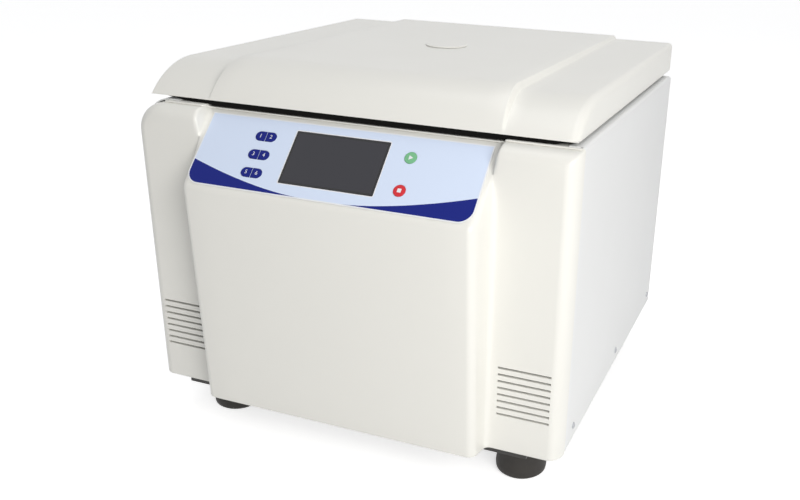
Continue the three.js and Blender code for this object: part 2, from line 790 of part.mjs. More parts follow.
function buildCabinet(machine) {
  const fasciaInner = -edgeDepth / 6;
  const plate = block(
    -basePlateHalfWidth,
    basePlateHalfWidth,
    -fasciaInner,
    rearInner - clearance,
    baseBottom,
    baseTop,
  );
  const railTop = coverBottom + railHeight;
  const railOuter = coverInner - clearance;
  const rail = (side) => {
    const points = [
      [basePlateHalfWidth - railFoot, baseTop - 1],
      [basePlateHalfWidth, baseTop - 1],
      [basePlateHalfWidth, baseTop + railThickness],
      [railOuter, baseTop + railThickness],
      [railOuter, railTop],
      [railOuter - railThickness, railTop],
      [railOuter - railThickness, baseTop + 2 * railThickness],
      [basePlateHalfWidth - railFoot, baseTop + 2 * railThickness],
    ];
    return alongY(side > 0 ? points : points.map(([x, z]) => [-x, z]).reverse(), fasciaBack, rearInner - clearance);
  };
  const screwPlaces = [];
  for (const [name, side] of sides) {
    for (let i = 0; i < 3; i += 1) screwPlaces.push([`side_screw_${name}_${i + 1}`, side, screwFirstY + i * screwPitch]);
  }
  const screwZ = coverBottom + screwHeight;
  const screwHoles = (sign) => screwPlaces
    .filter(([, side]) => side === sign)
    .map(([, side, y]) => {
      const [x0, x1] = side > 0 ? [railOuter - overrun, halfWidth + overrun] : [-halfWidth - overrun, overrun - railOuter];
      return bar(screwHoleRadius, x0, x1, y, screwZ, 12);
    });
  add(
    machine,
    'base_plate',
    carve([plate, rail(-1), rail(1)], [...screwHoles(-1), ...screwHoles(1)]),
    blackSteel,
  );
  for (const [name, side] of sides) {
    const cover = alongY(coverOutline(side), seamY + clearance, rearInner - clearance);
    add(machine, `side_cover_${name}`, carve([cover], screwHoles(side)), whiteSteel);
  }
  for (const [name, side, y] of screwPlaces) {
    const head = halfWidth + clearance;
    const points = [
      [0, 0],
      [screwShankRadius, 0],
      [screwShankRadius, head - railOuter + railThickness],
      [screwHeadRadius, head - railOuter + railThickness],
      [screwHeadRadius, head - railOuter + railThickness + screwHeadHeight / 2],
      [screwHeadRadius / 2, head - railOuter + railThickness + screwHeadHeight],
      [0, head - railOuter + railThickness + screwHeadHeight],
    ];
    const screw = turned(points, 12).rotateY((side * Math.PI) / 2);
    add(machine, name, screw.translate(side * (railOuter - railThickness), y, screwZ), rawSteel);
  }

  add(machine, 'front_fascia', frontFascia(), creamPlastic);

  const deckFront = fasciaBack + clearance;
  const deckRear = rearInner - clearance;
  const deck = [block(-deckReach(-1), deckReach(1), deckFront, deckRear, deckTop - deckThickness, deckTop)];
  for (const [, side] of sides) {
    const edge = deckReach(side);
    const [x0, x1] = side > 0 ? [edge - deckThickness, edge] : [-edge, deckThickness - edge];
    deck.push(block(x0, x1, deckFront, deckRear, deckTop - deckFlange, deckTop - deckThickness / 2));
  }
  const mouth = post(bowlRadius + 3 * bowlWall, deckTop - overrun, deckTop + overrun, 0, chamberY, 40);
  const slotHalf = strikerHalfWidth + 3 * running + clearance * 4;
  const slot = block(
    -slotHalf,
    slotHalf,
    strikerY - strikerThickness,
    strikerY + strikerThickness,
    deckTop - overrun,
    deckTop + overrun,
  );
  add(machine, 'top_deck', carve(deck, [mouth, slot]), creamPlastic);

  const footRearY = bodyDepth - footRearInset;
  const footTop = baseBottom - clearance;
  for (const [name, side] of sides) {
    for (const [place, y] of [['front', footFrontY], ['rear', footRearY]]) {
      const foot = turned([
        [0, 0],
        [footSoleRadius, 0],
        [footBellyRadius - 1, footBellyHeight / 3],
        [footBellyRadius, footBellyHeight],
        [footTopRadius, footTop],
        [0, footTop],
      ], 20);
      add(machine, `foot_${place}_${name}`, foot.translate(side * footX, y, 0), blackRubber);
    }
  }
}

// Rear cover and what it carries

function buildRear(machine) {
  const corner = (side, from) => {
    const radius = cornerRadiusOf(side);
    const centreX = side * (halfWidth - radius);
    return arc(centreX, coverTop - radius, radius, from, from + Math.PI / 2, bodyCornerSteps);
  };
  const plate = alongY([
    [-halfWidth, coverBottom],
    [halfWidth, coverBottom],
    ...corner(1, 0),
    ...corner(-1, Math.PI / 2),
  ], rearInner, bodyDepth);
  const through = [rearInner - overrun, bodyDepth + overrun];
  const switchZ = inletZ + switchRise;
  const fuseZ = inletZ + fuseRise;
  const windowOf = (x, z, width, height) => block(
    x - width / 2 - clearance,
    x + width / 2 + clearance,
    ...through,
    z - height / 2 - clearance,
    z + height / 2 + clearance,
  );
  const cuts = [
    plug(fanBoreRadius, ...through, fanX, fanZ, 32),
    windowOf(inletX, inletZ, inletWidth, inletHeight),
    windowOf(inletX, switchZ, switchWidth, switchHeight),
    plug(fuseRadius - 2, ...through, inletX, fuseZ, 16),
  ];
  for (let i = 0; i < ventCount; i += 1) {
    const z = ventTop - i * ventPitch;
    cuts.push(block(-rearVentHalfWidth, rearVentHalfWidth, ...through, z - ventHeight / 2, z + ventHeight / 2));
  }
  add(machine, 'rear_cover', carve([plate], cuts), whiteSteel);

  const outside = bodyDepth + clearance;
  const inside = rearInner - clearance;
  const flange = block(
    inletX - inletWidth / 2 - inletFlange,
    inletX + inletWidth / 2 + inletFlange,
    outside,
    outside + inletFlangeThickness,
    inletZ - inletHeight / 2 - 1,
    inletZ + inletHeight / 2 + 1,
  );
  const shell = block(
    inletX - inletWidth / 2,
    inletX + inletWidth / 2,
    outside - inletDepth,
    outside + 1,
    inletZ - inletHeight / 2,
    inletZ + inletHeight / 2,
  );
  const socket = block(
    inletX - inletWidth / 2 + inletWall,
    inletX + inletWidth / 2 - inletWall,
    outside - inletDepth + inletWall,
    outside + inletFlangeThickness + overrun,
    inletZ - inletHeight / 2 + inletWall,
    inletZ + inletHeight / 2 - inletWall,
  );
  const pins = [[-1, -1], [0, 1], [1, -1]].map(([x, z]) => {
    const px = inletX + (x * inletWidth) / 4;
    const pz = inletZ + (z * inletHeight) / 8;
    const half = inletPinWidth / 2;
    const root = outside - inletDepth + inletWall / 2;
    return block(px - half / 2, px + half / 2, root, root + inletPinLength, pz - half, pz + half);
  });
  const hollow = geometryOf(solid(flange).add(solid(shell)).subtract(solid(socket)));
  add(machine, 'power_inlet', carve([hollow, ...pins]), blackPlastic);

  const bezelHalfX = switchWidth / 2 + switchBezel;
  const bezelHalfZ = switchHeight / 2 + switchBezel;
  const bezel = block(
    inletX - bezelHalfX,
    inletX + bezelHalfX,
    outside,
    outside + switchBezel,
    switchZ - bezelHalfZ,
    switchZ + bezelHalfZ,
  );
  const switchBody = block(
    inletX - switchWidth / 2,
    inletX + switchWidth / 2,
    outside - switchDepth,
    outside + 1,
    switchZ - switchHeight / 2,
    switchZ + switchHeight / 2,
  );
  const wellHalfX = switchWidth / 2 - switchBezel;
  const wellHalfZ = switchHeight / 2 - switchBezel;
  const well = block(
    inletX - wellHalfX,
    inletX + wellHalfX,
    outside - switchDepth + switchBezel,
    outside + switchBezel + overrun,
    switchZ - wellHalfZ,
    switchZ + wellHalfZ,
  );
  add(machine, 'mains_switch_body', carve([bezel, switchBody], [well]), blackPlastic);
  const rockerHalfX = wellHalfX - 2 * clearance;
  const pivotY = outside - switchBezel;
  const rockerFace = outside + switchBezel + rockerProud;
  const reach = rockerFace - pivotY;
  const rocker = upZ([
    [-rockerHalfX, 0],
    [0, 1 - reach],
    [rockerHalfX, 0],
    [rockerHalfX - 1, reach - 1],
    [0, reach - rockerProud],
    [1 - rockerHalfX, reach - 1],
  ], clearance - wellHalfZ, wellHalfZ - clearance);
  rocker.rotateZ(-rockerTilt).translate(inletX, pivotY, switchZ);
  add(machine, 'mains_switch_rocker', rocker, blackPlastic);

  const fuse = turned([
    [0, 0],
    [fuseRadius - 3, 0],
    [fuseRadius - 3, fuseLength],
    [fuseRadius, fuseLength],
    [fuseRadius - 1, 2 * fuseLength],
    [0, 2 * fuseLength],
  ], 16);
  const fuseRoot = outside - fuseLength;
  add(machine, 'fuse_cap', fuse.rotateX(-Math.PI / 2).translate(inletX, fuseRoot, fuseZ), blackPlastic);

  const fanFront = inside - fanDepth;
  const fanHalf = fanSize / 2;
  const frame = block(fanX - fanHalf, fanX + fanHalf, fanFront, inside, fanZ - fanHalf, fanZ + fanHalf);
  const bore = plug(fanBoreRadius, fanFront - overrun, inside + overrun, fanX, fanZ, 32);
  const spokeDepth = fanSpoke;
  const spokes = [
    block(fanX - fanBoreRadius - 1, fanX + fanBoreRadius + 1, fanFront, fanFront + spokeDepth, fanZ - fanSpoke / 2, fanZ + fanSpoke / 2),
    block(fanX - fanSpoke / 2, fanX + fanSpoke / 2, fanFront, fanFront + spokeDepth, fanZ - fanBoreRadius - 1, fanZ + fanBoreRadius + 1),
    plug(fanHubRadius, fanFront, fanFront + spokeDepth, fanX, fanZ, 20),
    plug(fanSpoke / 2, fanFront, inside - fanSpoke, fanX, fanZ, 12),
  ];
  const frameShell = geometryOf(solid(frame).subtract(solid(bore)));
  add(machine, 'fan_frame', carve([frameShell, ...spokes]), blackPlastic);

  const wheelFront = fanFront + spokeDepth + clearance;
  const wheelRear = inside - fanSpoke / 2;
  const wheelDepth = wheelRear - wheelFront;
  const hub = plug(fanHubRadius, wheelFront, wheelRear, fanX, fanZ, 20);
  const blades = [];
  for (let i = 0; i < fanBlades; i += 1) {
    const length = fanBoreRadius - fanHubRadius - fanBladeThickness / 2;
    const chord = wheelDepth * 0.9;
    const blade = new THREE.BoxGeometry(length + fanHubRadius / 3, chord, fanBladeThickness);
    blade.rotateX(fanBladeTilt).translate(fanHubRadius + length / 2 - fanHubRadius / 6, 0, 0);
    blade.rotateY((i * 2 * Math.PI) / fanBlades).translate(fanX, (wheelFront + wheelRear) / 2, fanZ);
    blades.push(blade);
  }
  const axleBore = plug(fanSpoke / 2 + running, wheelFront - overrun, inside - fanSpoke + clearance, fanX, fanZ, 12);
  add(machine, 'fan_wheel', carve([hub, ...blades], [axleBore]), blackPlastic);

  const guard = [];
  const ringStep = fanBoreRadius / guardRings;
  for (let i = 1; i <= guardRings; i += 1) {
    const outer = i * ringStep + guardWire;
    const ring = turned([
      [outer - guardWire, 0],
      [outer, 0],
      [outer, guardWire],
      [outer - guardWire, guardWire],
    ], 24, true);
    guard.push(ring.rotateX(-Math.PI / 2).translate(fanX, outside, fanZ));
  }
  for (let i = 0; i < 2; i += 1) {
    const wire = new THREE.BoxGeometry(2 * (fanBoreRadius + guardWire) - 1, guardWire, guardWire);
    wire.rotateY(Math.PI / 4 + (i * Math.PI) / 2).translate(fanX, outside + guardWire / 2, fanZ);
    guard.push(wire);
  }
  add(machine, 'fan_guard', carve(guard), rawSteel);

  const bayInner = motorPlateHalfWidth + bayBoxGap;
  const bayOuter = coverInner - railThickness - 4 * clearance;
  const bayBottom = baseTop + 2 * railThickness + clearance;
  const bayFront = chamberY - bayBoxDepth / 2;
  for (const [name, side] of [['power_supply', -1], ['motor_inverter', 1]]) {
    const [x0, x1] = side > 0 ? [bayInner, bayOuter] : [-bayOuter, -bayInner];
    const bay = block(x0, x1, bayFront, bayFront + bayBoxDepth, bayBottom, bayBottom + bayBoxHeight);
    add(machine, name, bay, rawSteel);
  }
}

// Chamber and drive

function buildChamber(machine) {
  const drive = new THREE.Group();
  drive.position.set(0, chamberY, 0);
  machine.add(drive);
  const rimBottom = deckTop + clearance;
  const rimTop = rimBottom + bowlWall;
  const outer = bowlRadius + bowlWall;
  const bendZ = bowlBottom + bowlBendRadius;
  const bendR = bowlRadius - bowlBendRadius;
  const bowl = turned([
    ...arc(bendR, bendZ, bowlBendRadius, -Math.PI / 2, 0, 3),
    [bowlRadius, rimTop],
    [outer + bowlRimWidth, rimTop],
    [outer + bowlRimWidth, rimBottom],
    [outer, rimBottom],
    ...arc(bendR, bendZ, bowlBendRadius + bowlWall, 0, -Math.PI / 2, 3),
    [bowlHoleRadius, bowlBottom - bowlWall],
    [bowlHoleRadius, bowlBottom],
  ], 40, true);
  add(drive, 'chamber_bowl', bowl, stainless);

  const gasketInner = outer + bowlRimWidth + clearance;
  const gasketTop = linerBottom - clearance;
  const gasket = turned([
    [gasketInner, rimBottom],
    [gasketInner + gasketWidth, rimBottom],
    [gasketInner + gasketWidth, rimBottom + gasketFoot],
    [gasketInner + gasketWidth * 0.7, rimBottom + gasketFoot],
    [gasketInner + gasketWidth * 0.7, gasketTop - 1],
    [gasketInner + gasketWidth / 2, gasketTop],
    [gasketInner + gasketWidth * 0.3, gasketTop - 1],
    [gasketInner + gasketWidth * 0.3, rimBottom + gasketFoot],
    [gasketInner, rimBottom + gasketFoot],
  ], 40, true);
  add(drive, 'chamber_gasket', gasket, greyRubber);

  const guardInner = outer + guardGap;
  const guard = turned([
    [guardInner, motorPlateTop + clearance],
    [guardInner + guardWall, motorPlateTop + clearance],
    [guardInner + guardWall, deckTop - deckThickness - clearance],
    [guardInner, deckTop - deckThickness - clearance],
  ], 40, true);
  add(drive, 'guard_ring', guard, rawSteel);

  const half = motorPlateHalfWidth;
  const frame = [block(-half, half, -half, half, platePatchBottom, motorPlateTop)];
  for (const [, sx] of sides) {
    for (const [, sy] of sides) {
      const [x0, x1] = sx > 0 ? [half - legWidth, half] : [-half, legWidth - half];
      const [y0, y1] = sy > 0 ? [half - legWidth, half] : [-half, legWidth - half];
      frame.push(block(x0, x1, y0, y1, baseTop + clearance, motorPlateTop - 1));
    }
  }
  const hole = post(plateHoleRadius - 8, platePatchBottom - overrun, motorPlateTop + overrun, 0, 0, 32);
  add(drive, 'motor_frame', carve(frame, [hole]), blackSteel);

  const flangeTop = platePatchBottom - damperHeight;
  const flangeBottom = flangeTop - motorFlangeThickness;
  const motorBottom = flangeBottom - motorHeight + motorFlangeThickness;
  const bossTop = flangeTop + damperHeight / 2;
  const bossRadius = spindleRadius * 2.4;
  const motor = turned([
    [0, motorBottom],
    [motorRadius - 4, motorBottom],
    [motorRadius, motorBottom + 4],
    [motorRadius, flangeBottom],
    [motorFlangeRadius, flangeBottom],
    [motorFlangeRadius, flangeTop],
    [bossRadius, flangeTop],
    [bossRadius, bossTop],
    [spindleRadius + running, bossTop],
    [spindleRadius + running, bossTop - spindleDepth - clearance],
    [0, bossTop - spindleDepth - clearance],
  ], 32);
  add(drive, 'drive_motor', motor, rawSteel);

  for (let i = 0; i < 3; i += 1) {
    const angle = Math.PI / 2 + (i * 2 * Math.PI) / 3;
    const [low, high] = [flangeTop + clearance, platePatchBottom - clearance];
    const damper = turned([
      [0, low],
      [damperRadius, low],
      [damperRadius - damperWaist, (low + high) / 2],
      [damperRadius, high],
      [0, high],
    ], 18);
    const [x, y] = [damperCircle * Math.cos(angle), damperCircle * Math.sin(angle)];
    add(drive, `motor_damper_${i + 1}`, damper.translate(x, y, 0), blackRubber);
  }

  const bootTop = bowlBottom + bootWall;
  const bootInner = collarRadius - bootWall;
  const boot = turned([
    [bootInner, motorPlateTop + clearance],
    [bowlHoleRadius - clearance, motorPlateTop + clearance],
    [bowlHoleRadius - clearance, bowlBottom],
    [bootInner + bootWall, bootTop],
    [bootInner, bootTop],
  ], 32, true);
  add(drive, 'spindle_boot', boot, blackRubber);

  const spindleTop = hubTop - 1;
  const collarTop = rotorBottom - clearance;
  const spindle = turned([
    [0, bossTop - spindleDepth],
    [spindleRadius, bossTop - spindleDepth],
    [spindleRadius, collarTop - collarHeight],
    [collarRadius, collarTop - collarHeight],
    [collarRadius, collarTop],
    [spindleRadius, collarTop],
    [spindleRadius, spindleTop],
    [studRadius + clearance, spindleTop],
    [studRadius + clearance, spindleTop - studLength - 1],
    [0, spindleTop - studLength - 1],
  ], 24);
  add(drive, 'spindle', spindle, stainless);
  add(drive, 'angle_rotor', angleRotor(), anodised);

  const nutBottom = hubTop + clearance;
  const nutTop = nutBottom + nutHeight;
  const nut = turned([
    [0, nutBottom - studLength],
    [studRadius, nutBottom - studLength],
    [studRadius, nutBottom],
    [nutRadius, nutBottom],
    [nutRadius, nutTop - 3],
    [nutRadius - 3, nutTop],
    [0, nutTop],
  ], 24);
  const grooves = Array.from({ length: nutGrooves }, (_, i) => {
    const angle = (i * 2 * Math.PI) / nutGrooves;
    const [x, y] = [nutRadius * Math.cos(angle), nutRadius * Math.sin(angle)];
    return post(nutGrooveRadius, nutBottom - overrun / 2, nutTop + overrun, x, y, 6);
  });
  add(drive, 'rotor_nut', carve([nut], grooves), anodised);
}

/** A conical rotor whose tube pockets stand square to the cone of its dished top. */
function angleRotor() {
  const slope = Math.tan(pocketTilt);
  const coneAt = (radius) => rotorRimTop - (rotorRimRadius - radius) * slope;
  const beltTop = rotorRimTop - rotorShoulder;
  const beltBottom = beltTop - rotorBeltHeight;
  const bore = spindleRadius + clearance;
  const body = turned([
    [bore, rotorBottom],
    [rotorBaseRadius, rotorBottom],
    [rotorRadius, beltBottom],
    [rotorRadius, beltTop],
    [rotorRimRadius + 3, rotorRimTop - 1],
    [rotorRimRadius, rotorRimTop],
    [hubRadius, coneAt(hubRadius)],
    [hubRadius, hubTop - 2],
    [hubRadius - 2, hubTop],
    [bore, hubTop],
  ], 40, true);
  const pockets = Array.from({ length: pocketCount }, (_, i) => {
    const round = Math.min(pocketRadius / 2, pocketDepth / 3);
    const pocket = turned([
      [0, -pocketDepth],
      [pocketRadius - round, -pocketDepth],
      [pocketRadius, round - pocketDepth],
      [pocketRadius, pocketDepth / 2],
      [0, pocketDepth / 2],
    ], 16);
    pocket.rotateY(-pocketTilt).translate(pocketMouthRadius, 0, coneAt(pocketMouthRadius));
    return pocket.rotateZ(((i + 1 / 2) * 2 * Math.PI) / pocketCount);
  });
  return carve([body], pockets);
}

// Lid

/** Depth at which an arc that starts at the lid's lip reaches its top. */
function lidArcEnd(top, radius) {
  const drop = top - lidBottom - lidLip;
  return lidFront + Math.sqrt(2 * radius * drop - drop * drop);
}

/** Height of the lid at a depth: an arc up from the lip, then a slow rise to the rear. */
function lidHeight(y, top, radius, rise) {
  const arcEnd = lidArcEnd(top, radius);
  const before = clamp(arcEnd - y, 0, radius);
  const crown = top - radius + Math.sqrt(radius * radius - before * before);
  const behind = (rise * Math.max(y - arcEnd, 0)) / (lidRear - arcEnd);
  return Math.max(crown + behind, lidBottom + lidLip);
}

const lidSideHeight = (y) => lidHeight(y, lidSideTop, lidSideArc, lidSideRise);
const lidCentreHeight = (y) => lidHeight(y, lidCentreTop, lidCentreArc, lidCentreRise);

/** The lid as a closed solid, drawn in from the outside by an inset, down to a plane. */
function lidSolid(inset, floor) {
  const half = lidHalfWidth - inset;
  const front = lidFront + inset;
  const rear = lidRear - inset;
  const edgeSteps = 3;
  const quarter = (step, count) => Math.sin((step / count) * (Math.PI / 2));
  const edgeOf = (side) => Math.max((side > 0 ? lidRightRadius : lidLeftRadius) - inset, clearance);
  const stepAt = (y) => {
    const taper = lidCentreTaper * clamp((y - front) / lidTaperLength, 0, 1);
    return lidCentreHalfWidth - inset / 2 - taper;
  };
  const stepShares = [0, 0.3, 0.7, 1];
  const centreShares = [0, 0.6];
  const columnsOfHalf = centreShares.length + stepShares.length + edgeSteps + 1;
  const across = (column, y, side) => {
    const step = stepAt(y);
    const inStep = column - centreShares.length;
    const inEdge = inStep - stepShares.length;
    if (inStep < 0) return step * centreShares[column];
    if (inEdge < 0) return step + lidStepWidth * stepShares[inStep];
    return half - edgeOf(side) * (1 - quarter(inEdge, edgeSteps));
  };
  const arcShares = [0, 0.03, 0.09, 0.18, 0.3, 0.45, 0.7, 1];
  const arcReach = lidArcEnd(lidSideTop, lidSideArc) - lidFront;
  const ys = arcShares.map((share) => front + share * arcReach);
  ys.push(front + (rear - front) / 2, rear - (rear - front) / 5);
  for (let s = 0; s <= edgeSteps; s += 1) ys.push(rear - lidRearRadius * (1 - quarter(s, edgeSteps)));
  const heightAt = (x, y, side) => {
    const edge = edgeOf(side);
    const step = stepAt(y);
    const share = THREE.MathUtils.smoothstep(x, step, step + lidStepWidth);
    const centre = lidCentreHeight(y - inset) - inset;
    const flank = lidSideHeight(y - inset) - inset;
    const sideEdge = clamp((x - (half - edge)) / edge, 0, 1);
    const rearEdge = clamp((y - (rear - lidRearRadius)) / lidRearRadius, 0, 1);
    const sideDrop = edge * (1 - Math.sqrt(1 - sideEdge * sideEdge));
    const rearDrop = lidRearRadius * (1 - Math.sqrt(1 - rearEdge * rearEdge));
    const crown = centre + (flank - centre) * share;
    const low = lidBottom + lidLip - inset;
    return Math.max(crown - sideDrop - rearDrop, low);
  };
  const columns = 2 * columnsOfHalf - 1;
  const face = (i, j) => {
    const offset = i - (columnsOfHalf - 1);
    const x = across(Math.abs(offset), ys[j], offset);
    return [Math.sign(offset) * x, ys[j], heightAt(x, ys[j], offset)];
  };
  const shadow = (i, j) => {
    const [x, y] = face(i, j);
    return [x, y, floor];
  };
  return sheetSolid(columns, ys.length, face, shadow);
}

function buildLid(machine) {
  const capZ = lidCentreHeight(chamberY);
  const capHole = post(capStemRadius + clearance, capZ - lidWall - overrun, capZ + overrun, 0, chamberY, 32);
  const shell = carve([lidSolid(0, lidBottom)], [lidSolid(lidWall, lidBottom - overrun), capHole]);
  add(machine, 'lid_shell', shell, creamPlastic);

  const linerHalf = lidHalfWidth - linerInset;
  const linerFront = lidFront + linerFrontGap;
  const linerRear = lidRear - linerInset;
  const liner = block(-linerHalf, linerHalf, linerFront, linerRear, linerBottom, linerBottom + linerThickness);
  const bossLow = linerBottom - linerBossDepth;
  const boss = turned([
    [0, bossLow],
    [linerBossRadius - 4, bossLow],
    [linerBossRadius, linerBottom + linerThickness / 2],
    [0, linerBottom + linerThickness / 2],
  ], 40).translate(0, chamberY, 0);
  add(machine, 'lid_liner', carve([liner, boss]), whiteSteel);

  const cap = turned([
    [0, capZ - capStemLength],
    [capStemRadius, capZ - capStemLength],
    [capStemRadius, capZ + clearance],
    [capRadius, capZ + clearance],
    [capRadius - 0.4, capZ + capProud * 0.8],
    [capRadius - 2, capZ + capProud],
    [0, capZ + capProud],
  ], 32).translate(0, chamberY, 0);
  add(machine, 'lid_cap', cap, creamPlastic);

  const strikerLow = deckTop - strikerDrop;
  const strikerTop = linerBottom - clearance;
  const [s0, s1] = [strikerY - strikerThickness / 2, strikerY + strikerThickness / 2];
  const striker = block(-strikerHalfWidth, strikerHalfWidth, s0, s1, strikerLow, strikerTop);
  const pad = block(
    -2 * strikerHalfWidth,
    2 * strikerHalfWidth,
    s0 - strikerThickness,
    s1 + strikerThickness,
    strikerTop - 2,
    strikerTop,
  );
  const eye = block(
    strikerBar - strikerHalfWidth,
    strikerHalfWidth - strikerBar,
    s0 - overrun,
    s1 + overrun,
    strikerLow + strikerBar,
    strikerLow + strikerBar + boltHeight + 6 * clearance,
  );
  add(machine, 'lid_striker', carve([striker, pad], [eye]), rawSteel);

  for (const [name, side] of sides) {
    const x = side * hingeX;
    const armLow = arc(hingeY, hingeZ, hingeKnuckleRadius, -Math.PI, 0, 8);
    const arm = alongX([
      ...armLow,
      [hingeY + hingeKnuckleRadius, linerBottom - clearance],
      [hingeY - hingeKnuckleRadius, linerBottom - clearance],
    ], x - hingeArmHalfWidth, x + hingeArmHalfWidth);
    const pinRoom = hingePinRadius + running;
    const earInner = hingeArmHalfWidth + clearance;
    const earOuter = earInner + hingeEarThickness;
    const bore = bar(pinRoom, x - earOuter - overrun, x + earOuter + overrun, hingeY, hingeZ, 20);
    add(machine, `hinge_arm_${name}`, carve([arm], [bore]), rawSteel);

    const plateY = bodyDepth + clearance;
    const plateTop = hingeZ + hingeKnuckleRadius;
    const plate = block(
      x - earOuter,
      x + earOuter,
      plateY,
      plateY + hingePlateThickness,
      plateTop - hingePlateHeight,
      plateTop - clearance,
    );
    const ears = [[-earOuter, -earInner], [earInner, earOuter]].map(([e0, e1]) => alongX([
      [plateY + 1, hingeZ - 2 * hingeKnuckleRadius],
      ...arc(hingeY, hingeZ, hingeKnuckleRadius, -Math.PI / 3, Math.PI / 2, 8),
      [plateY + 1, hingeZ + hingeKnuckleRadius],
    ], x + e0, x + e1));
    add(machine, `hinge_bracket_${name}`, carve([plate, ...ears], [bore]), rawSteel);
    add(machine, `hinge_pin_${name}`, bar(hingePinRadius, x - earOuter, x + earOuter, hingeY, hingeZ, 20), stainless);
  }
}

function buildLock(machine) {
  const lockRear = strikerY - strikerThickness / 2 - lockSetback;
  const lockFront = lockRear - lockLength;
  const lockTop = deckTop - deckThickness - clearance;
  const boltLow = deckTop - strikerDrop + strikerBar + 3 * clearance;
  const boltTop = boltLow + boltHeight;
  const housing = block(-lockHalfWidth, lockHalfWidth, lockFront, lockRear, lockTop - lockHeight, lockTop);
  const channel = block(
    -boltHalfWidth - clearance,
    boltHalfWidth + clearance,
    lockFront + 2,
    lockRear + overrun,
    boltLow - clearance,
    boltTop + clearance,
  );
  add(machine, 'lock_housing', carve([housing], [channel]), blackPlastic);
  const bolt = block(-boltHalfWidth, boltHalfWidth, lockFront + 2 + clearance, lockRear, boltLow, boltTop);
  add(machine, 'lock_bolt', bolt, stainless);
}

const centrifuge = new THREE.Group();
const machine = new THREE.Group();
machine.position.y = -(lidRear + centreProfile(noseCentreZ)) / 2;
centrifuge.add(machine);
buildCabinet(machine);
buildControls(machine);
buildRear(machine);
buildChamber(machine);
buildLid(machine);
buildLock(machine);

export default centrifuge;
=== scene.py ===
"""Bench centrifuge with a hinged lid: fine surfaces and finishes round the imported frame."""

import logging
import math
from dataclasses import dataclass, field
from enum import Enum
from typing import Callable, Optional, Sequence

import bmesh
import bpy
import numpy as np
from mathutils import Matrix, Vector
from mathutils.geometry import delaunay_2d_cdt


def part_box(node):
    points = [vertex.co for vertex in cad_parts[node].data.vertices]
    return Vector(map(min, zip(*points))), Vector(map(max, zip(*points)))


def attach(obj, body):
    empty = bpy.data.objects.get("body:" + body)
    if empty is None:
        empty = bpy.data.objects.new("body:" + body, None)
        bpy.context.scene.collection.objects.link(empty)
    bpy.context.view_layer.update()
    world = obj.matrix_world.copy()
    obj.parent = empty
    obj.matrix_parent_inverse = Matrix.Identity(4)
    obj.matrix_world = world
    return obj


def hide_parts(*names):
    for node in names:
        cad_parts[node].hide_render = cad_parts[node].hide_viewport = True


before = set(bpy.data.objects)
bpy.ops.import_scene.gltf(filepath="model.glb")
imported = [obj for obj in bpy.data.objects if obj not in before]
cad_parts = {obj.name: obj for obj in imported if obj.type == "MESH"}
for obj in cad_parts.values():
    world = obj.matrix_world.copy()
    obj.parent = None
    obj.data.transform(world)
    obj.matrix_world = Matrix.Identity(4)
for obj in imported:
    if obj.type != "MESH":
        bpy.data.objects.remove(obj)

LOG = logging.getLogger("centrifuge")
MM = 0.001
CABINET_Y = -203.4  # the columns' front faces lie at this Y of the frame, in millimetres
SHARP = math.radians(32)
Outline = np.ndarray


class Side(Enum):
    """The two sides of the machine, as signs of X."""

    LEFT = -1
    RIGHT = 1

    @property
    def word(self) -> str:
        """The side's name in the names of pieces."""
        return self.name.lower()

    @property
    def shoulder(self) -> float:
        """Radius of the cabinet's upper corner on this side, seen from the front."""
        return 3.0 if self is Side.RIGHT else 28.0


class Lay(Enum):
    """How the fine lines of a metal surface run."""

    STRAIGHT = "straight"
    TURNED = "turned"


# Meshes


def placed(points: np.ndarray) -> np.ndarray:
    """Moves points from the cabinet's millimetres into the frame's metres.

    Args:
        points: positions in millimetres, with y = 0 at the columns' front faces.

    Returns:
        The same positions in metres, in the frame.
    """
    return (np.asarray(points, float) + np.array([0.0, CABINET_Y, 0.0])) * MM


def new_object(name: str, vertices: np.ndarray, faces: Sequence) -> bpy.types.Object:
    """Makes an object at the origin from vertex and face arrays.

    Args:
        name: the piece's name.
        vertices: positions in metres, in the frame.
        faces: vertex numbers of each face.

    Returns:
        The new object.
    """
    mesh = bpy.data.meshes.new(name)
    rows = faces.tolist() if isinstance(faces, np.ndarray) else [list(f) for f in faces]
    mesh.from_pydata(np.asarray(vertices, float).tolist(), [], rows)
    mesh.update()
    obj = bpy.data.objects.new(name, mesh)
    bpy.context.scene.collection.objects.link(obj)
    return obj


def edit(obj: bpy.types.Object, work: Callable[[bmesh.types.BMesh], None]) -> bpy.types.Object:
    """Runs one edit on an object's mesh.

    Args:
        obj: the object.
        work: the edit, which is handed the mesh.

    Returns:
        The same object.
    """
    bm = bmesh.new()
    bm.from_mesh(obj.data)
    work(bm)
    bm.to_mesh(obj.data)
    bm.free()
    obj.data.update()
    return obj


def welded(obj: bpy.types.Object, distance: float = 2e-6) -> bpy.types.Object:
    """Merges doubled vertices and points the faces outwards.

    Args:
        obj: the object, closed once its doubles are merged.
        distance: how near two vertices must be to merge, in metres.

    Returns:
        The same object.
    """

    def work(bm: bmesh.types.BMesh) -> None:
        """Welds, drops slivers without area and turns the faces outwards."""
        bmesh.ops.remove_doubles(bm, verts=bm.verts, dist=distance)
        bmesh.ops.dissolve_degenerate(bm, dist=distance / 4, edges=bm.edges)
        bmesh.ops.recalc_face_normals(bm, faces=bm.faces)
        if bm.calc_volume(signed=True) < 0:
            bmesh.ops.reverse_faces(bm, faces=bm.faces)

    return edit(obj, work)


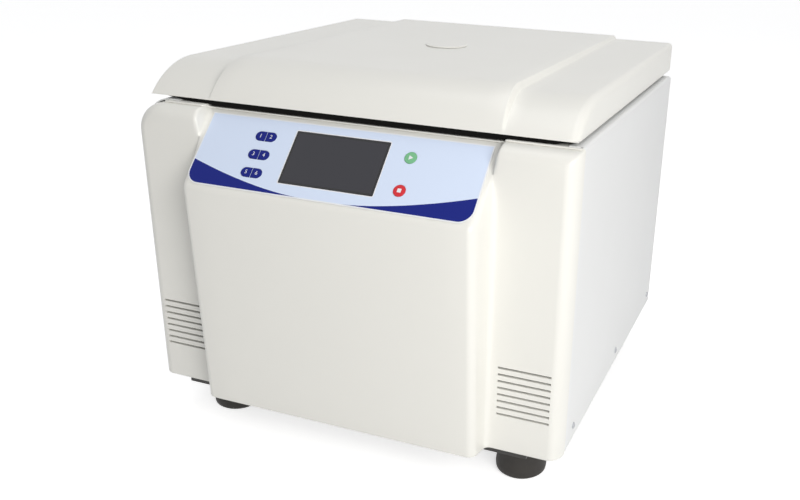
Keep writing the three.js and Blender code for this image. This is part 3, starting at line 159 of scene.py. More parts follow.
def smoothed(obj: bpy.types.Object, angle: float = SHARP) -> bpy.types.Object:
    """Shades a mesh smooth, apart from edges sharper than an angle.

    Args:
        obj: the object.
        angle: the angle between faces from which an edge stays sharp, in radians.

    Returns:
        The same object.
    """

    def work(bm: bmesh.types.BMesh) -> None:
        """Marks each face smooth and each sharp edge sharp."""
        for face in bm.faces:
            face.smooth = True
        for edge in bm.edges:
            edge.smooth = len(edge.link_faces) == 2 and edge.calc_face_angle(0.0) < angle

    return edit(obj, work)


def applied(obj: bpy.types.Object) -> bpy.types.Object:
    """Turns an object's modifiers into plain mesh."""
    bpy.context.view_layer.update()
    graph = bpy.context.evaluated_depsgraph_get()
    mesh = bpy.data.meshes.new_from_object(obj.evaluated_get(graph))
    obj.modifiers.clear()
    old = obj.data
    obj.data = mesh
    mesh.name = obj.name
    bpy.data.meshes.remove(old)
    return obj


def settled(obj: bpy.types.Object, angle: float = SHARP) -> bpy.types.Object:
    """Turns an object's modifiers into plain mesh and shades it, sharp from an angle on."""
    return smoothed(applied(obj), angle)


def bevelled(obj: bpy.types.Object, width: float, segments: int = 2, angle: float = 0.55) -> bpy.types.Object:
    """Rounds a mesh's edges.

    Args:
        obj: the object.
        width: the rounding's width in millimetres.
        segments: how many strips round each edge.
        angle: the angle from which an edge is rounded, in radians.

    Returns:
        The same object, settled.
    """
    bevel = obj.modifiers.new("rounding", "BEVEL")
    bevel.width = width * MM
    bevel.segments = segments
    bevel.limit_method = "ANGLE"
    bevel.angle_limit = angle
    bevel.use_clamp_overlap = True
    settled(obj)
    obj.modifiers.new("level_faces", "WEIGHTED_NORMAL").keep_sharp = True
    return applied(obj)


def quads(rows: int, columns: int, closed_rows: bool = False, closed_columns: bool = False) -> np.ndarray:
    """Faces of a grid, one quad for each cell.

    Args:
        rows: number of points along the first parameter.
        columns: number of points along the second parameter.
        closed_rows: whether the last row meets the first.
        closed_columns: whether the last column meets the first.

    Returns:
        An array of quads as vertex numbers, shaped (cells, 4).
    """
    i, j = np.meshgrid(
        np.arange(rows if closed_rows else rows - 1),
        np.arange(columns if closed_columns else columns - 1),
        indexing="ij",
    )
    low, right = (i + 1) % rows, (j + 1) % columns
    corners = [i * columns + j, i * columns + right, low * columns + right, low * columns + j]
    return np.stack(corners, -1).reshape(-1, 4)


def shell(
    name: str, outer: np.ndarray, inner: np.ndarray, kept: Optional[np.ndarray] = None
) -> bpy.types.Object:
    """A wall between two grids of the same size, closed along every open border.

    The faces are the outer grid, the inner grid turned over, and one quad from each border
    edge of the kept cells to the same edge of the inner grid.

    Args:
        name: the piece's name.
        outer: outer points in millimetres, shaped (rows, columns, 3).
        inner: inner points in millimetres, shaped the same.
        kept: which cells exist, shaped (rows - 1, columns - 1), or None for all.

    Returns:
        The new object.
    """
    rows, columns = outer.shape[:2]
    count = rows * columns
    cells = quads(rows, columns)
    if kept is not None:
        cells = cells[kept.ravel()]
    edges = np.stack([cells, np.roll(cells, -1, axis=1)], -1).reshape(-1, 2)
    key = edges[:, 0] * count + edges[:, 1]
    back = edges[:, 1] * count + edges[:, 0]
    border = edges[~np.isin(key, back)]
    rim = np.stack([border[:, 1], border[:, 0], border[:, 0] + count, border[:, 1] + count], -1)
    faces = np.concatenate([cells, cells[:, ::-1] + count, rim])
    points = placed(np.concatenate([outer.reshape(-1, 3), inner.reshape(-1, 3)]))
    used, faces = np.unique(faces, return_inverse=True)
    return welded(new_object(name, points[used], faces.reshape(-1, 4)))


def turned_surface(
    name: str,
    profile: Sequence[tuple[float, float]],
    centre: tuple[float, float, float] = (0.0, 0.0, 0.0),
    axis: str = "z",
    sides: int = 96,
    ring: bool = False,
) -> bpy.types.Object:
    """A profile of (radius, height) points turned round an axis.

    Each point is centre + height * axis + radius * (cos a, sin a) across the axis.

    Args:
        name: the piece's name.
        profile: radius and height pairs in millimetres, ending on the axis unless it is a ring.
        centre: the axis's foot in the cabinet's millimetres.
        axis: "x", "-x", "y" or "z", the way the height runs.
        sides: steps round the axis.
        ring: whether the profile closes on itself.

    Returns:
        The new object.
    """
    pairs = np.asarray(profile, float)
    angles = np.arange(sides) * 2 * math.pi / sides
    radius, height = pairs[:, 0, None], np.broadcast_to(pairs[:, 1, None], (len(pairs), sides))
    a, b = radius * np.cos(angles), radius * np.sin(angles)
    layout = {"z": (a, b, height), "y": (a, height, b), "x": (height, a, b), "-x": (-height, a, b)}
    points = np.stack(layout[axis], -1) + np.asarray(centre, float)
    faces = quads(len(pairs), sides, closed_rows=ring, closed_columns=True)
    return welded(new_object(name, placed(points.reshape(-1, 3)), faces))


def rounded(points: Sequence[tuple[float, float]], radii: Sequence[float], steps: int = 6) -> np.ndarray:
    """Rounds the corners of a polyline with arcs.

    At each corner the arc touches both legs at radius / tan(half the corner's angle), as far
    as the legs allow, and its points are spaced evenly in angle by a quadratic blend.

    Args:
        points: corner points.
        radii: a radius for each corner, zero for a sharp one.
        steps: strips in each arc.

    Returns:
        The new polyline, shaped (points, 2).
    """
    pts = np.asarray(points, float)
    out: list[np.ndarray] = []
    t = np.linspace(0, 1, steps + 1)[:, None]
    for i, (point, radius) in enumerate(zip(pts, radii)):
        if radius <= 0 or i in (0, len(pts) - 1):
            out.append(point[None])
            continue
        before, after = pts[i - 1] - point, pts[i + 1] - point
        lb, la = np.linalg.norm(before), np.linalg.norm(after)
        cosine = float(np.clip(before @ after / (lb * la), -1, 1))
        half = math.acos(cosine) / 2
        reach = min(radius / max(math.tan(half), 1e-6), 0.48 * lb, 0.48 * la)
        start, end = point + before / lb * reach, point + after / la * reach
        weight = math.sin(half)
        blend = (1 - t) ** 2 + 2 * weight * t * (1 - t) + t**2
        out.append(((1 - t) ** 2 * start + 2 * weight * t * (1 - t) * point + t**2 * end) / blend)
    return np.concatenate(out)


def circle(x: float, y: float, radius: float, steps: int = 48) -> np.ndarray:
    """A circle's outline round (x, y), as points of equal angle."""
    angle = np.arange(steps) * 2 * math.pi / steps
    return np.stack([x + radius * np.cos(angle), y + radius * np.sin(angle)], -1)


def rectangle(x0: float, x1: float, y0: float, y1: float, radius: float = 0.0, steps: int = 6) -> np.ndarray:
    """A rectangle's outline whose corners are quarter circles.

    Args:
        x0: low side.
        x1: high side.
        y0: low end.
        y1: high end.
        radius: the corners' radius.
        steps: strips in each corner.

    Returns:
        The outline, anticlockwise.
    """
    if radius <= 0:
        return np.array([[x0, y0], [x1, y0], [x1, y1], [x0, y1]], float)
    quarter = np.linspace(0, math.pi / 2, steps + 1)
    corners = [
        (x1 - radius, y1 - radius), (x0 + radius, y1 - radius), (x0 + radius, y0 + radius),
        (x1 - radius, y0 + radius),
    ]
    arcs = [
        np.stack(
            [
                cx + radius * np.cos(quarter + k * math.pi / 2),
                cy + radius * np.sin(quarter + k * math.pi / 2),
            ],
            -1,
        )
        for k, (cx, cy) in enumerate(corners)
    ]
    return np.concatenate(arcs)


def inside(points: np.ndarray, outline: np.ndarray) -> np.ndarray:
    """Which points lie inside an outline, by counting the edges that a ray along X crosses.

    Args:
        points: positions, shaped (points, 2).
        outline: the outline, shaped (corners, 2).

    Returns:
        A truth value for each point.
    """
    a, b = outline, np.roll(outline, -1, axis=0)
    x, y = points[:, 0, None], points[:, 1, None]
    spans = (a[:, 1] > y) != (b[:, 1] > y)
    rise = np.where(b[:, 1] == a[:, 1], 1e-12, b[:, 1] - a[:, 1])
    crossing = a[:, 0] + (y - a[:, 1]) * (b[:, 0] - a[:, 0]) / rise
    return (np.sum(spans & (x < crossing), axis=1) % 2).astype(bool)


def plate(
    name: str,
    outline: Outline,
    holes: Sequence[Outline],
    low: float,
    high: float,
    place: Callable[[np.ndarray], np.ndarray],
    regions: Sequence[Outline] = (),
) -> bpy.types.Object:
    """A flat plate with holes, from a constrained triangulation of its outlines.

    The plate's points are (u, v, w), with w = low on one face and w = high on the other, and
    place moves them into the cabinet. A triangle inside region k gets material number k + 1.

    Args:
        name: the piece's name.
        outline: outer border in the plate's own plane.
        holes: borders of the holes.
        low: height of the lower face.
        high: height of the upper face.
        place: takes (u, v, w) points to cabinet millimetres.
        regions: outlines of areas with materials of their own.

    Returns:
        The new object.
    """
    loops = [outline, *holes, *regions]
    points = np.concatenate(loops)
    starts = np.cumsum([0] + [len(loop) for loop in loops[:-1]])
    edges = [
        (int(s + k), int(s + (k + 1) % len(loop))) for s, loop in zip(starts, loops) for k in range(len(loop))
    ]
    flat, _, triangles, *_ = delaunay_2d_cdt([Vector(p) for p in points], edges, [], 0, 1e-5)
    verts = np.array([tuple(v) for v in flat])
    tris = np.array([list(t) for t in triangles], int)
    middle = verts[tris].mean(axis=1)
    keep = inside(middle, outline)
    for hole in holes:
        keep &= ~inside(middle, hole)
    tris, middle = tris[keep], middle[keep]
    number = np.zeros(len(tris), int)
    for k, region in enumerate(regions):
        number[inside(middle, region)] = k + 1
    span = verts[tris]
    turn = np.cross(span[:, 1] - span[:, 0], span[:, 2] - span[:, 0]) < 0
    tris[turn] = tris[turn][:, ::-1]
    count = len(verts)
    border_edges = np.stack([tris, np.roll(tris, -1, axis=1)], -1).reshape(-1, 2)
    owner = np.repeat(np.arange(len(tris)), 3)
    alone = ~np.isin(
        border_edges[:, 0] * count + border_edges[:, 1], border_edges[:, 1] * count + border_edges[:, 0]
    )
    rim = border_edges[alone]
    top = tris + count
    walls = np.stack([rim[:, 0], rim[:, 1], rim[:, 1] + count, rim[:, 0] + count], -1)
    faces = [*top.tolist(), *tris[:, ::-1].tolist(), *walls.tolist()]
    numbers = np.concatenate([number, number, number[owner[alone]]])
    low_points = np.column_stack([verts, np.full(count, low)])
    high_points = np.column_stack([verts, np.full(count, high)])
    obj = new_object(name, placed(place(np.concatenate([low_points, high_points]))), faces)
    obj.data.polygons.foreach_set("material_index", numbers.astype(np.int32))
    return edit(obj, lambda bm: bmesh.ops.recalc_face_normals(bm, faces=bm.faces))


def stacked(name: str, rings: np.ndarray) -> bpy.types.Object:
    """A closed solid through rings of points, capped at its first and last ring.

    Args:
        name: the piece's name.
        rings: positions in cabinet millimetres, shaped (rings, points, 3).

    Returns:
        The new object.
    """
    count, around = rings.shape[:2]
    faces = quads(count, around, closed_columns=True).tolist()
    faces.append(list(range(around))[::-1])
    faces.append([(count - 1) * around + k for k in range(around)])
    return welded(new_object(name, placed(rings.reshape(-1, 3)), faces))


def tube(
    path: np.ndarray, radius: float, closed: bool = False, sides: int = 12
) -> tuple[np.ndarray, np.ndarray]:
    """A round tube along a path that lies in an upright plane across Y.

    Each ring is the path's point plus radius * (cos a * n + sin a * Y), with n across the path.

    Args:
        path: points in cabinet millimetres, shaped (points, 3).
        radius: the tube's radius.
        closed: whether the path's end meets its start.
        sides: points round the tube.

    Returns:
        The vertices in millimetres and the quads.
    """
    ahead = np.roll(path, -1, axis=0) - np.roll(path, 1, axis=0)
    if not closed:
        ahead[0], ahead[-1] = path[1] - path[0], path[-1] - path[-2]
    ahead /= np.linalg.norm(ahead, axis=1)[:, None]
    depth = np.array([0.0, 1.0, 0.0])
    across = np.cross(ahead, depth)
    angle = np.arange(sides) * 2 * math.pi / sides
    rings = path[:, None] + radius * (
        np.cos(angle)[None, :, None] * across[:, None] + np.sin(angle)[None, :, None] * depth
    )
    return rings.reshape(-1, 3), quads(len(path), sides, closed_rows=closed, closed_columns=True)


def joined(name: str, parts: Sequence[tuple[np.ndarray, np.ndarray]]) -> bpy.types.Object:
    """Puts several vertex and face arrays into one object.

    Args:
        name: the piece's name.
        parts: vertices in cabinet millimetres and their faces, for each part.

    Returns:
        The new object.
    """
    offset, vertices, faces = 0, [], []
    for points, cells in parts:
        vertices.append(points)
        faces.extend((np.asarray(cells) + offset).tolist())
        offset += len(points)
    return new_object(name, placed(np.concatenate(vertices)), faces)


def refined(name: str, node: str, width: float, segments: int = 2) -> bpy.types.Object:
    """A copy of a CAD node with clean flat faces and rounded edges.

    Args:
        name: the new piece's name.
        node: the CAD node.
        width: the rounding's width in millimetres.
        segments: strips round each edge.

    Returns:
        The new object.
    """
    obj = bpy.data.objects.new(name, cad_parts[node].data.copy())
    obj.data.name = name
    obj.data.materials.clear()
    bpy.context.scene.collection.objects.link(obj)

    def work(bm: bmesh.types.BMesh) -> None:
        """Merges the loose triangles and dissolves the edges inside flat faces."""
        bmesh.ops.remove_doubles(bm, verts=bm.verts, dist=2e-6)
        bmesh.ops.dissolve_limit(bm, angle_limit=0.01, verts=bm.verts, edges=bm.edges)
        bmesh.ops.recalc_face_normals(bm, faces=bm.faces)

    edit(obj, work)
    return bevelled(obj, width, segments)


# Materials


def linear(colour: tuple[int, int, int]) -> tuple[float, float, float, float]:
    """Turns an 8-bit display colour into the linear colour that shaders use."""
    share = np.asarray(colour, float) / 255
    value = np.where(share <= 0.04045, share / 12.92, ((share + 0.055) / 1.055) ** 2.4)
    return (*value.tolist(), 1.0)


def add_node(
    tree: bpy.types.NodeTree, kind: str, inputs: Optional[dict] = None, **settings: object
) -> bpy.types.Node:
    """Adds a shader node.

    Args:
        tree: the node tree.
        kind: the node's type.
        inputs: input name or number to a value, or to an output socket to link.
        settings: attributes of the node itself.

    Returns:
        The new node.
    """
    node = tree.nodes.new(kind)
    for key, value in settings.items():
        setattr(node, key, value)
    for key, value in (inputs or {}).items():
        if isinstance(value, bpy.types.NodeSocket):
            tree.links.new(value, node.inputs[key])
        else:
            node.inputs[key].default_value = value
    return node


def group(
    name: str, inputs: dict[str, tuple[str, object]], outputs: dict[str, str]
) -> tuple[bpy.types.NodeTree, bpy.types.Node, bpy.types.Node]:
    """Starts a shader node group.

    Args:
        name: the group's name.
        inputs: input name to its socket type and default value.
        outputs: output name to its socket type.

    Returns:
        The group, its input node and its output node.
    """
    tree = bpy.data.node_groups.new(name, "ShaderNodeTree")
    for key, (kind, default) in inputs.items():
        tree.interface.new_socket(key, in_out="INPUT", socket_type=kind).default_value = default
    for key, kind in outputs.items():
        tree.interface.new_socket(key, in_out="OUTPUT", socket_type=kind)
    return tree, tree.nodes.new("NodeGroupInput"), tree.nodes.new("NodeGroupOutput")


FLOAT, COLOUR, VECTOR = "NodeSocketFloat", "NodeSocketColor", "NodeSocketVector"


def moulding_group() -> bpy.types.NodeTree:
    """Fine texture and slow mottling of a moulded, coated or printed surface.

    The colour is multiplied by 1 - mottle * slow noise, the roughness gets spread * slow noise,
    and the height is a fine noise of its own scale.
    """
    tree, source, sink = group(
        "surface_texture",
        {
            "Colour": (COLOUR, (1, 1, 1, 1)),
            "Mottle": (FLOAT, 0.03),
            "Mottle Scale": (FLOAT, 14.0),
            "Roughness": (FLOAT, 0.4),
            "Spread": (FLOAT, 0.08),
            "Grain Scale": (FLOAT, 2200.0),
        },
        {"Colour": COLOUR, "Roughness": FLOAT, "Height": FLOAT},
    )
    at = add_node(tree, "ShaderNodeTexCoord").outputs["Object"]
    slow = add_node(
        tree, "ShaderNodeTexNoise", {"Vector": at, "Scale": source.outputs["Mottle Scale"], "Detail": 3.0}
    )
    fine = add_node(
        tree, "ShaderNodeTexNoise", {"Vector": at, "Scale": source.outputs["Grain Scale"], "Detail": 2.0}
    )
    shade = add_node(
        tree, "ShaderNodeMath", {0: slow.outputs["Fac"], 1: source.outputs["Mottle"]}, operation="MULTIPLY"
    )
    kept = add_node(tree, "ShaderNodeMath", {0: 1.0, 1: shade.outputs[0]}, operation="SUBTRACT")
    tint = add_node(
        tree,
        "ShaderNodeVectorMath",
        {0: source.outputs["Colour"], "Scale": kept.outputs[0]},
        operation="SCALE",
    )
    centred = add_node(tree, "ShaderNodeMath", {0: slow.outputs["Fac"], 1: 0.5}, operation="SUBTRACT")
    rough = add_node(
        tree,
        "ShaderNodeMath",
        {0: centred.outputs[0], 1: source.outputs["Spread"], 2: source.outputs["Roughness"]},
        operation="MULTIPLY_ADD",
    )
    tree.links.new(tint.outputs[0], sink.inputs["Colour"])
    tree.links.new(rough.outputs[0], sink.inputs["Roughness"])
    tree.links.new(fine.outputs["Fac"], sink.inputs["Height"])
    return tree


def dust_group() -> bpy.types.NodeTree:
    """A thin film of dust and handling marks on the faces that look up.

    The mask is amount * the normal's upward part * a broken noise, and mixes in a dust colour.
    """
    tree, source, sink = group(
        "settled_dust",
        {"Colour": (COLOUR, (1, 1, 1, 1)), "Dust": (COLOUR, (0.62, 0.6, 0.55, 1)), "Amount": (FLOAT, 0.08)},
        {"Colour": COLOUR, "Mask": FLOAT},
    )
    coordinates = add_node(tree, "ShaderNodeTexCoord")
    up = add_node(tree, "ShaderNodeSeparateXYZ", {0: coordinates.outputs["Normal"]})
    patch = add_node(
        tree, "ShaderNodeTexNoise", {"Vector": coordinates.outputs["Object"], "Scale": 9.0, "Detail": 6.0}
    )
    broken = add_node(
        tree, "ShaderNodeMapRange", {"Value": patch.outputs["Fac"], "From Min": 0.45, "From Max": 0.8}
    )
    facing = add_node(tree, "ShaderNodeMapRange", {"Value": up.outputs[2], "From Min": 0.2, "From Max": 1.0})
    both = add_node(
        tree, "ShaderNodeMath", {0: broken.outputs[0], 1: facing.outputs[0]}, operation="MULTIPLY"
    )
    mask = add_node(
        tree, "ShaderNodeMath", {0: both.outputs[0], 1: source.outputs["Amount"]}, operation="MULTIPLY"
    )
    mix = add_node(tree, "ShaderNodeMix", data_type="RGBA")
    tree.links.new(mask.outputs[0], mix.inputs[0])
    tree.links.new(source.outputs["Colour"], mix.inputs[6])
    tree.links.new(source.outputs["Dust"], mix.inputs[7])
    tree.links.new(mix.outputs[2], sink.inputs["Colour"])
    tree.links.new(mask.outputs[0], sink.inputs["Mask"])
    return tree


def metal_group(lay: Lay) -> bpy.types.NodeTree:
    """Fine tool lines of a drawn, brushed or turned metal.

    Straight lines are a noise stretched along X. Turned lines are a noise of the distance from
    the group's centre and of the height.

    Args:
        lay: how the lines run.

    Returns:
        The node group.
    """
    tree, source, sink = group(
        f"{lay.value}_metal",
        {
            "Colour": (COLOUR, (0.6, 0.6, 0.6, 1)),
            "Roughness": (FLOAT, 0.3),
            "Spread": (FLOAT, 0.12),
            "Density": (FLOAT, 900.0),
            "Centre": (VECTOR, (0, 0, 0)),
        },
        {"Colour": COLOUR, "Roughness": FLOAT, "Height": FLOAT},
    )
    at = add_node(tree, "ShaderNodeTexCoord").outputs["Object"]
    if lay is Lay.STRAIGHT:
        path = add_node(tree, "ShaderNodeMapping", {"Vector": at, "Scale": (0.03, 1.0, 1.0)}).outputs[0]
    else:
        local = add_node(
            tree, "ShaderNodeVectorMath", {0: at, 1: source.outputs["Centre"]}, operation="SUBTRACT"
        )
        parts = add_node(tree, "ShaderNodeSeparateXYZ", {0: local.outputs[0]})
        flat = add_node(tree, "ShaderNodeCombineXYZ", {0: parts.outputs[0], 1: parts.outputs[1]})
        away = add_node(tree, "ShaderNodeVectorMath", {0: flat.outputs[0]}, operation="LENGTH")
        path = add_node(
            tree, "ShaderNodeCombineXYZ", {0: away.outputs["Value"], 1: parts.outputs[2]}
        ).outputs[0]
    lines = add_node(
        tree, "ShaderNodeTexNoise", {"Vector": path, "Scale": source.outputs["Density"], "Detail": 3.0}
    )
    stains = add_node(tree, "ShaderNodeTexNoise", {"Vector": at, "Scale": 18.0, "Detail": 4.0})
    both = add_node(
        tree, "ShaderNodeMath", {0: lines.outputs["Fac"], 1: stains.outputs["Fac"]}, operation="ADD"
    )
    centred = add_node(tree, "ShaderNodeMath", {0: both.outputs[0], 1: 1.0}, operation="SUBTRACT")
    rough = add_node(
        tree,
        "ShaderNodeMath",
        {0: centred.outputs[0], 1: source.outputs["Spread"], 2: source.outputs["Roughness"]},
        operation="MULTIPLY_ADD",
    )
    worn = add_node(
        tree, "ShaderNodeMapRange", {"Value": stains.outputs["Fac"], "To Min": 0.9, "To Max": 1.06}
    )
    tint = add_node(
        tree,
        "ShaderNodeVectorMath",
        {0: source.outputs["Colour"], "Scale": worn.outputs[0]},
        operation="SCALE",
    )
    tree.links.new(tint.outputs[0], sink.inputs["Colour"])
    tree.links.new(rough.outputs[0], sink.inputs["Roughness"])
    tree.links.new(lines.outputs["Fac"], sink.inputs["Height"])
    return tree


class Groups:
    """The shader node groups, each built once."""

    _made: dict[str, bpy.types.NodeTree] = {}

    @classmethod
    def get(cls, name: str, make: Callable[[], bpy.types.NodeTree]) -> bpy.types.NodeTree:
        """Gives a group, and builds it the first time.

        Args:
            name: the group's key.
            make: builds the group.

        Returns:
            The node group.
        """
        if name not in cls._made:
            cls._made[name] = make()
        return cls._made[name]


def blank_material(name: str) -> tuple[bpy.types.Material, bpy.types.NodeTree, bpy.types.Node]:
    """A new material with its tree and its Principled BSDF."""
    material = bpy.data.materials.new(name)
    material.use_nodes = True
    tree = material.node_tree
    return material, tree, tree.nodes["Principled BSDF"]


@dataclass(frozen=True)
class Coat:
    """A moulded, painted or printed finish.

    Colours are 8-bit display colours, scales are per metre and the relief is in millimetres.
    """

    name: str
    colour: tuple[int, int, int]
    roughness: float = 0.4
    spread: float = 0.08
    mottle: float = 0.03
    mottle_scale: float = 14.0
    grain_scale: float = 2200.0
    relief: float = 0.02
    relief_share: float = 0.25
    dust: float = 0.06
    gloss_coat: float = 0.0
    coat_roughness: float = 0.1
    specular: float = 0.5

    def material(self) -> bpy.types.Material:
        """Builds the finish once and gives it again after that."""
        ready = bpy.data.materials.get(self.name)
        if ready:
            return ready
        material, tree, shader = blank_material(self.name)
        texture = add_node(tree, "ShaderNodeGroup", node_tree=Groups.get("moulding", moulding_group))
        values = {
            "Colour": linear(self.colour),
            "Mottle": self.mottle,
            "Mottle Scale": self.mottle_scale,
            "Roughness": self.roughness,
            "Spread": self.spread,
            "Grain Scale": self.grain_scale,
        }
        for key, value in values.items():
            texture.inputs[key].default_value = value
        dust = add_node(tree, "ShaderNodeGroup", node_tree=Groups.get("dust", dust_group))
        dust.inputs["Amount"].default_value = self.dust
        tree.links.new(texture.outputs["Colour"], dust.inputs["Colour"])
        bump = add_node(
            tree,
            "ShaderNodeBump",
            {
                "Height": texture.outputs["Height"],
                "Distance": self.relief * MM,
                "Strength": self.relief_share,
            },
        )
        tree.links.new(dust.outputs["Colour"], shader.inputs["Base Color"])
        tree.links.new(texture.outputs["Roughness"], shader.inputs["Roughness"])
        tree.links.new(bump.outputs[0], shader.inputs["Normal"])
        shader.inputs["Coat Weight"].default_value = self.gloss_coat
        shader.inputs["Coat Roughness"].default_value = self.coat_roughness
        shader.inputs["Specular IOR Level"].default_value = self.specular
        return material


@dataclass(frozen=True)
class Metal:
    """A bare, plated or anodised metal finish."""

    name: str
    colour: tuple[int, int, int]
    roughness: float = 0.3
    spread: float = 0.14
    density: float = 900.0
    lay: Lay = Lay.STRAIGHT
    centre: tuple[float, float, float] = (0.0, 0.0, 0.0)
    relief: float = 0.01
    metallic: float = 1.0

    def material(self) -> bpy.types.Material:
        """Builds the finish once and gives it again after that."""
        ready = bpy.data.materials.get(self.name)
        if ready:
            return ready
        material, tree, shader = blank_material(self.name)
        lines = add_node(
            tree, "ShaderNodeGroup", node_tree=Groups.get(self.lay.value, lambda: metal_group(self.lay))
        )
        lines.inputs["Colour"].default_value = linear(self.colour)
        lines.inputs["Roughness"].default_value = self.roughness
        lines.inputs["Spread"].default_value = self.spread
        lines.inputs["Density"].default_value = self.density
        lines.inputs["Centre"].default_value = self.centre
        bump = add_node(
            tree,
            "ShaderNodeBump",
            {"Height": lines.outputs["Height"], "Distance": self.relief * MM, "Strength": 0.35},
        )
        tree.links.new(lines.outputs["Colour"], shader.inputs["Base Color"])
        tree.links.new(lines.outputs["Roughness"], shader.inputs["Roughness"])
        tree.links.new(bump.outputs[0], shader.inputs["Normal"])
        shader.inputs["Metallic"].default_value = self.metallic
        return material


ROTOR_CENTRE = (0.0, (247.5 + CABINET_Y) * MM, 0.0)
CREAM = Coat(
    "cream_moulding", (238, 237, 231), roughness=0.36, mottle=0.018, relief=0.02, dust=0.03, gloss_coat=0.12
)
POWDER = Coat(
    "white_powder_coat",
    (233, 234, 234),
    roughness=0.42,
    mottle=0.015,
    grain_scale=900,
    relief=0.05,
    dust=0.03,
)
REAR_POWDER = Coat(
    "rear_powder_coat", (231, 232, 232), roughness=0.45, mottle=0.02, grain_scale=900, relief=0.05
)
FILM_BLUE = Coat(
    "pale_blue_film", (219, 232, 254), roughness=0.3, mottle=0.01, grain_scale=3200, relief=0.008, dust=0.0
)
FILM_DARK = Coat(
    "dark_blue_film",
    (26, 38, 128),
    roughness=0.42,
    mottle=0.04,
    grain_scale=3200,
    relief=0.008,
    dust=0.0,
    specular=0.15,
)
FILM_WHITE = Coat(
    "white_film", (240, 242, 246), roughness=0.3, mottle=0.01, grain_scale=3200, relief=0.008, dust=0.0
)
KEY_BLUE = Coat("blue_key", (26, 38, 128), roughness=0.45, mottle=0.05, relief=0.01, dust=0.0, specular=0.15)
KEY_GREEN = Coat("green_key", (120, 190, 140), roughness=0.34, mottle=0.05, relief=0.01, dust=0.0)
KEY_RED = Coat("red_key", (214, 34, 46), roughness=0.34, mottle=0.05, relief=0.01, dust=0.0)
PRINT_WHITE = Coat("white_print", (236, 238, 242), roughness=0.45, mottle=0.02, relief=0.004, dust=0.0)
SCREEN = Coat(
    "screen_glass",
    (58, 58, 64),
    roughness=0.16,
    spread=0.03,
    mottle=0.1,
    mottle_scale=7,
    relief=0.0,
    dust=0.0,
    specular=0.3,
)
SCREEN_RIM = Coat("screen_rim", (26, 26, 30), roughness=0.22, mottle=0.05, relief=0.0, dust=0.0)
RUBBER = Coat(
    "foot_rubber", (42, 38, 34), roughness=0.62, mottle=0.3, mottle_scale=60, relief=0.08, dust=0.12
)
SEAL = Coat("seal_rubber", (58, 58, 60), roughness=0.7, mottle=0.2, mottle_scale=40, relief=0.05)
# Near-black finish of the strip under the lid's front edge: painted shade for the gap there, as well as a
# rubber seal's colour.
SEAL_SHADE_STRIP = Coat(
    "seal_and_gap_shade", (12, 11, 10), roughness=0.8, mottle=0.2, mottle_scale=40, relief=0.05, specular=0.1
)
BLACK = Coat("black_moulding", (28, 28, 30), roughness=0.45, mottle=0.2, relief=0.03)
BOARD = Coat("board_green", (28, 92, 56), roughness=0.4, mottle=0.3, mottle_scale=120, relief=0.03)
DARK_PAINT = Coat("dark_paint", (46, 44, 42), roughness=0.5, mottle=0.2, mottle_scale=30, relief=0.04)
LINER_PAINT = Coat("liner_paint", (228, 229, 227), roughness=0.4, mottle=0.02, relief=0.03, dust=0.0)
BOWL_STEEL = Metal(
    "bowl_steel", (200, 202, 205), roughness=0.26, lay=Lay.TURNED, centre=ROTOR_CENTRE, density=700
)
ROTOR_BLACK = Metal(
    "rotor_anodising", (66, 69, 76), roughness=0.34, lay=Lay.TURNED, centre=ROTOR_CENTRE, density=1400
)
SHAFT_STEEL = Metal(
    "shaft_steel", (190, 192, 196), roughness=0.2, lay=Lay.TURNED, centre=ROTOR_CENTRE, density=2500
)
ZINC = Metal("zinc_plate", (176, 178, 182), roughness=0.38, density=500)
SCREW_STEEL = Metal("screw_steel", (168, 170, 174), roughness=0.3, density=3000)
CASE_STEEL = Metal("case_steel", (158, 161, 166), roughness=0.42, density=300)


def dressed(
    obj: bpy.types.Object,
    finishes: Coat | Metal | Sequence[Coat | Metal],
    body: str,
    nodes: Sequence[str] = (),
) -> bpy.types.Object:
    """Gives a piece its finish and ties it to its body.

    Args:
        obj: the piece.
        finishes: one finish, or one for each material number.
        body: the body that it rides on.
        nodes: CAD nodes that it stands for.

    Returns:
        The same object.
    """
    for finish in finishes if isinstance(finishes, (list, tuple)) else [finishes]:
        obj.data.materials.append(finish.material())
    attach(obj, body)
    if nodes:
        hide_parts(*nodes)
    LOG.info("%s rides on %s, %d faces", obj.name, body, len(obj.data.polygons))
    return obj


# Moulded front


@dataclass
class Slope:
    """The control slope's plane, with u across it and v down it from its upper edge."""

    top_y: float = 20.7
    top_z: float = 341.6
    angle: float = math.radians(45.7)

    def place(self, points: np.ndarray) -> np.ndarray:
        """Takes (u, up the slope, out of it) to the cabinet's millimetres.

        Args:
            points: positions on the slope, shaped (points, 3).

        Returns:
            Cabinet positions, turned about X by the slope's angle.
        """
        u, up, out = points[..., 0], points[..., 1], points[..., 2]
        cosine, sine = math.cos(self.angle), math.sin(self.angle)
        return np.stack([u, self.top_y + up * cosine - out * sine, self.top_z + up * sine + out * cosine], -1)


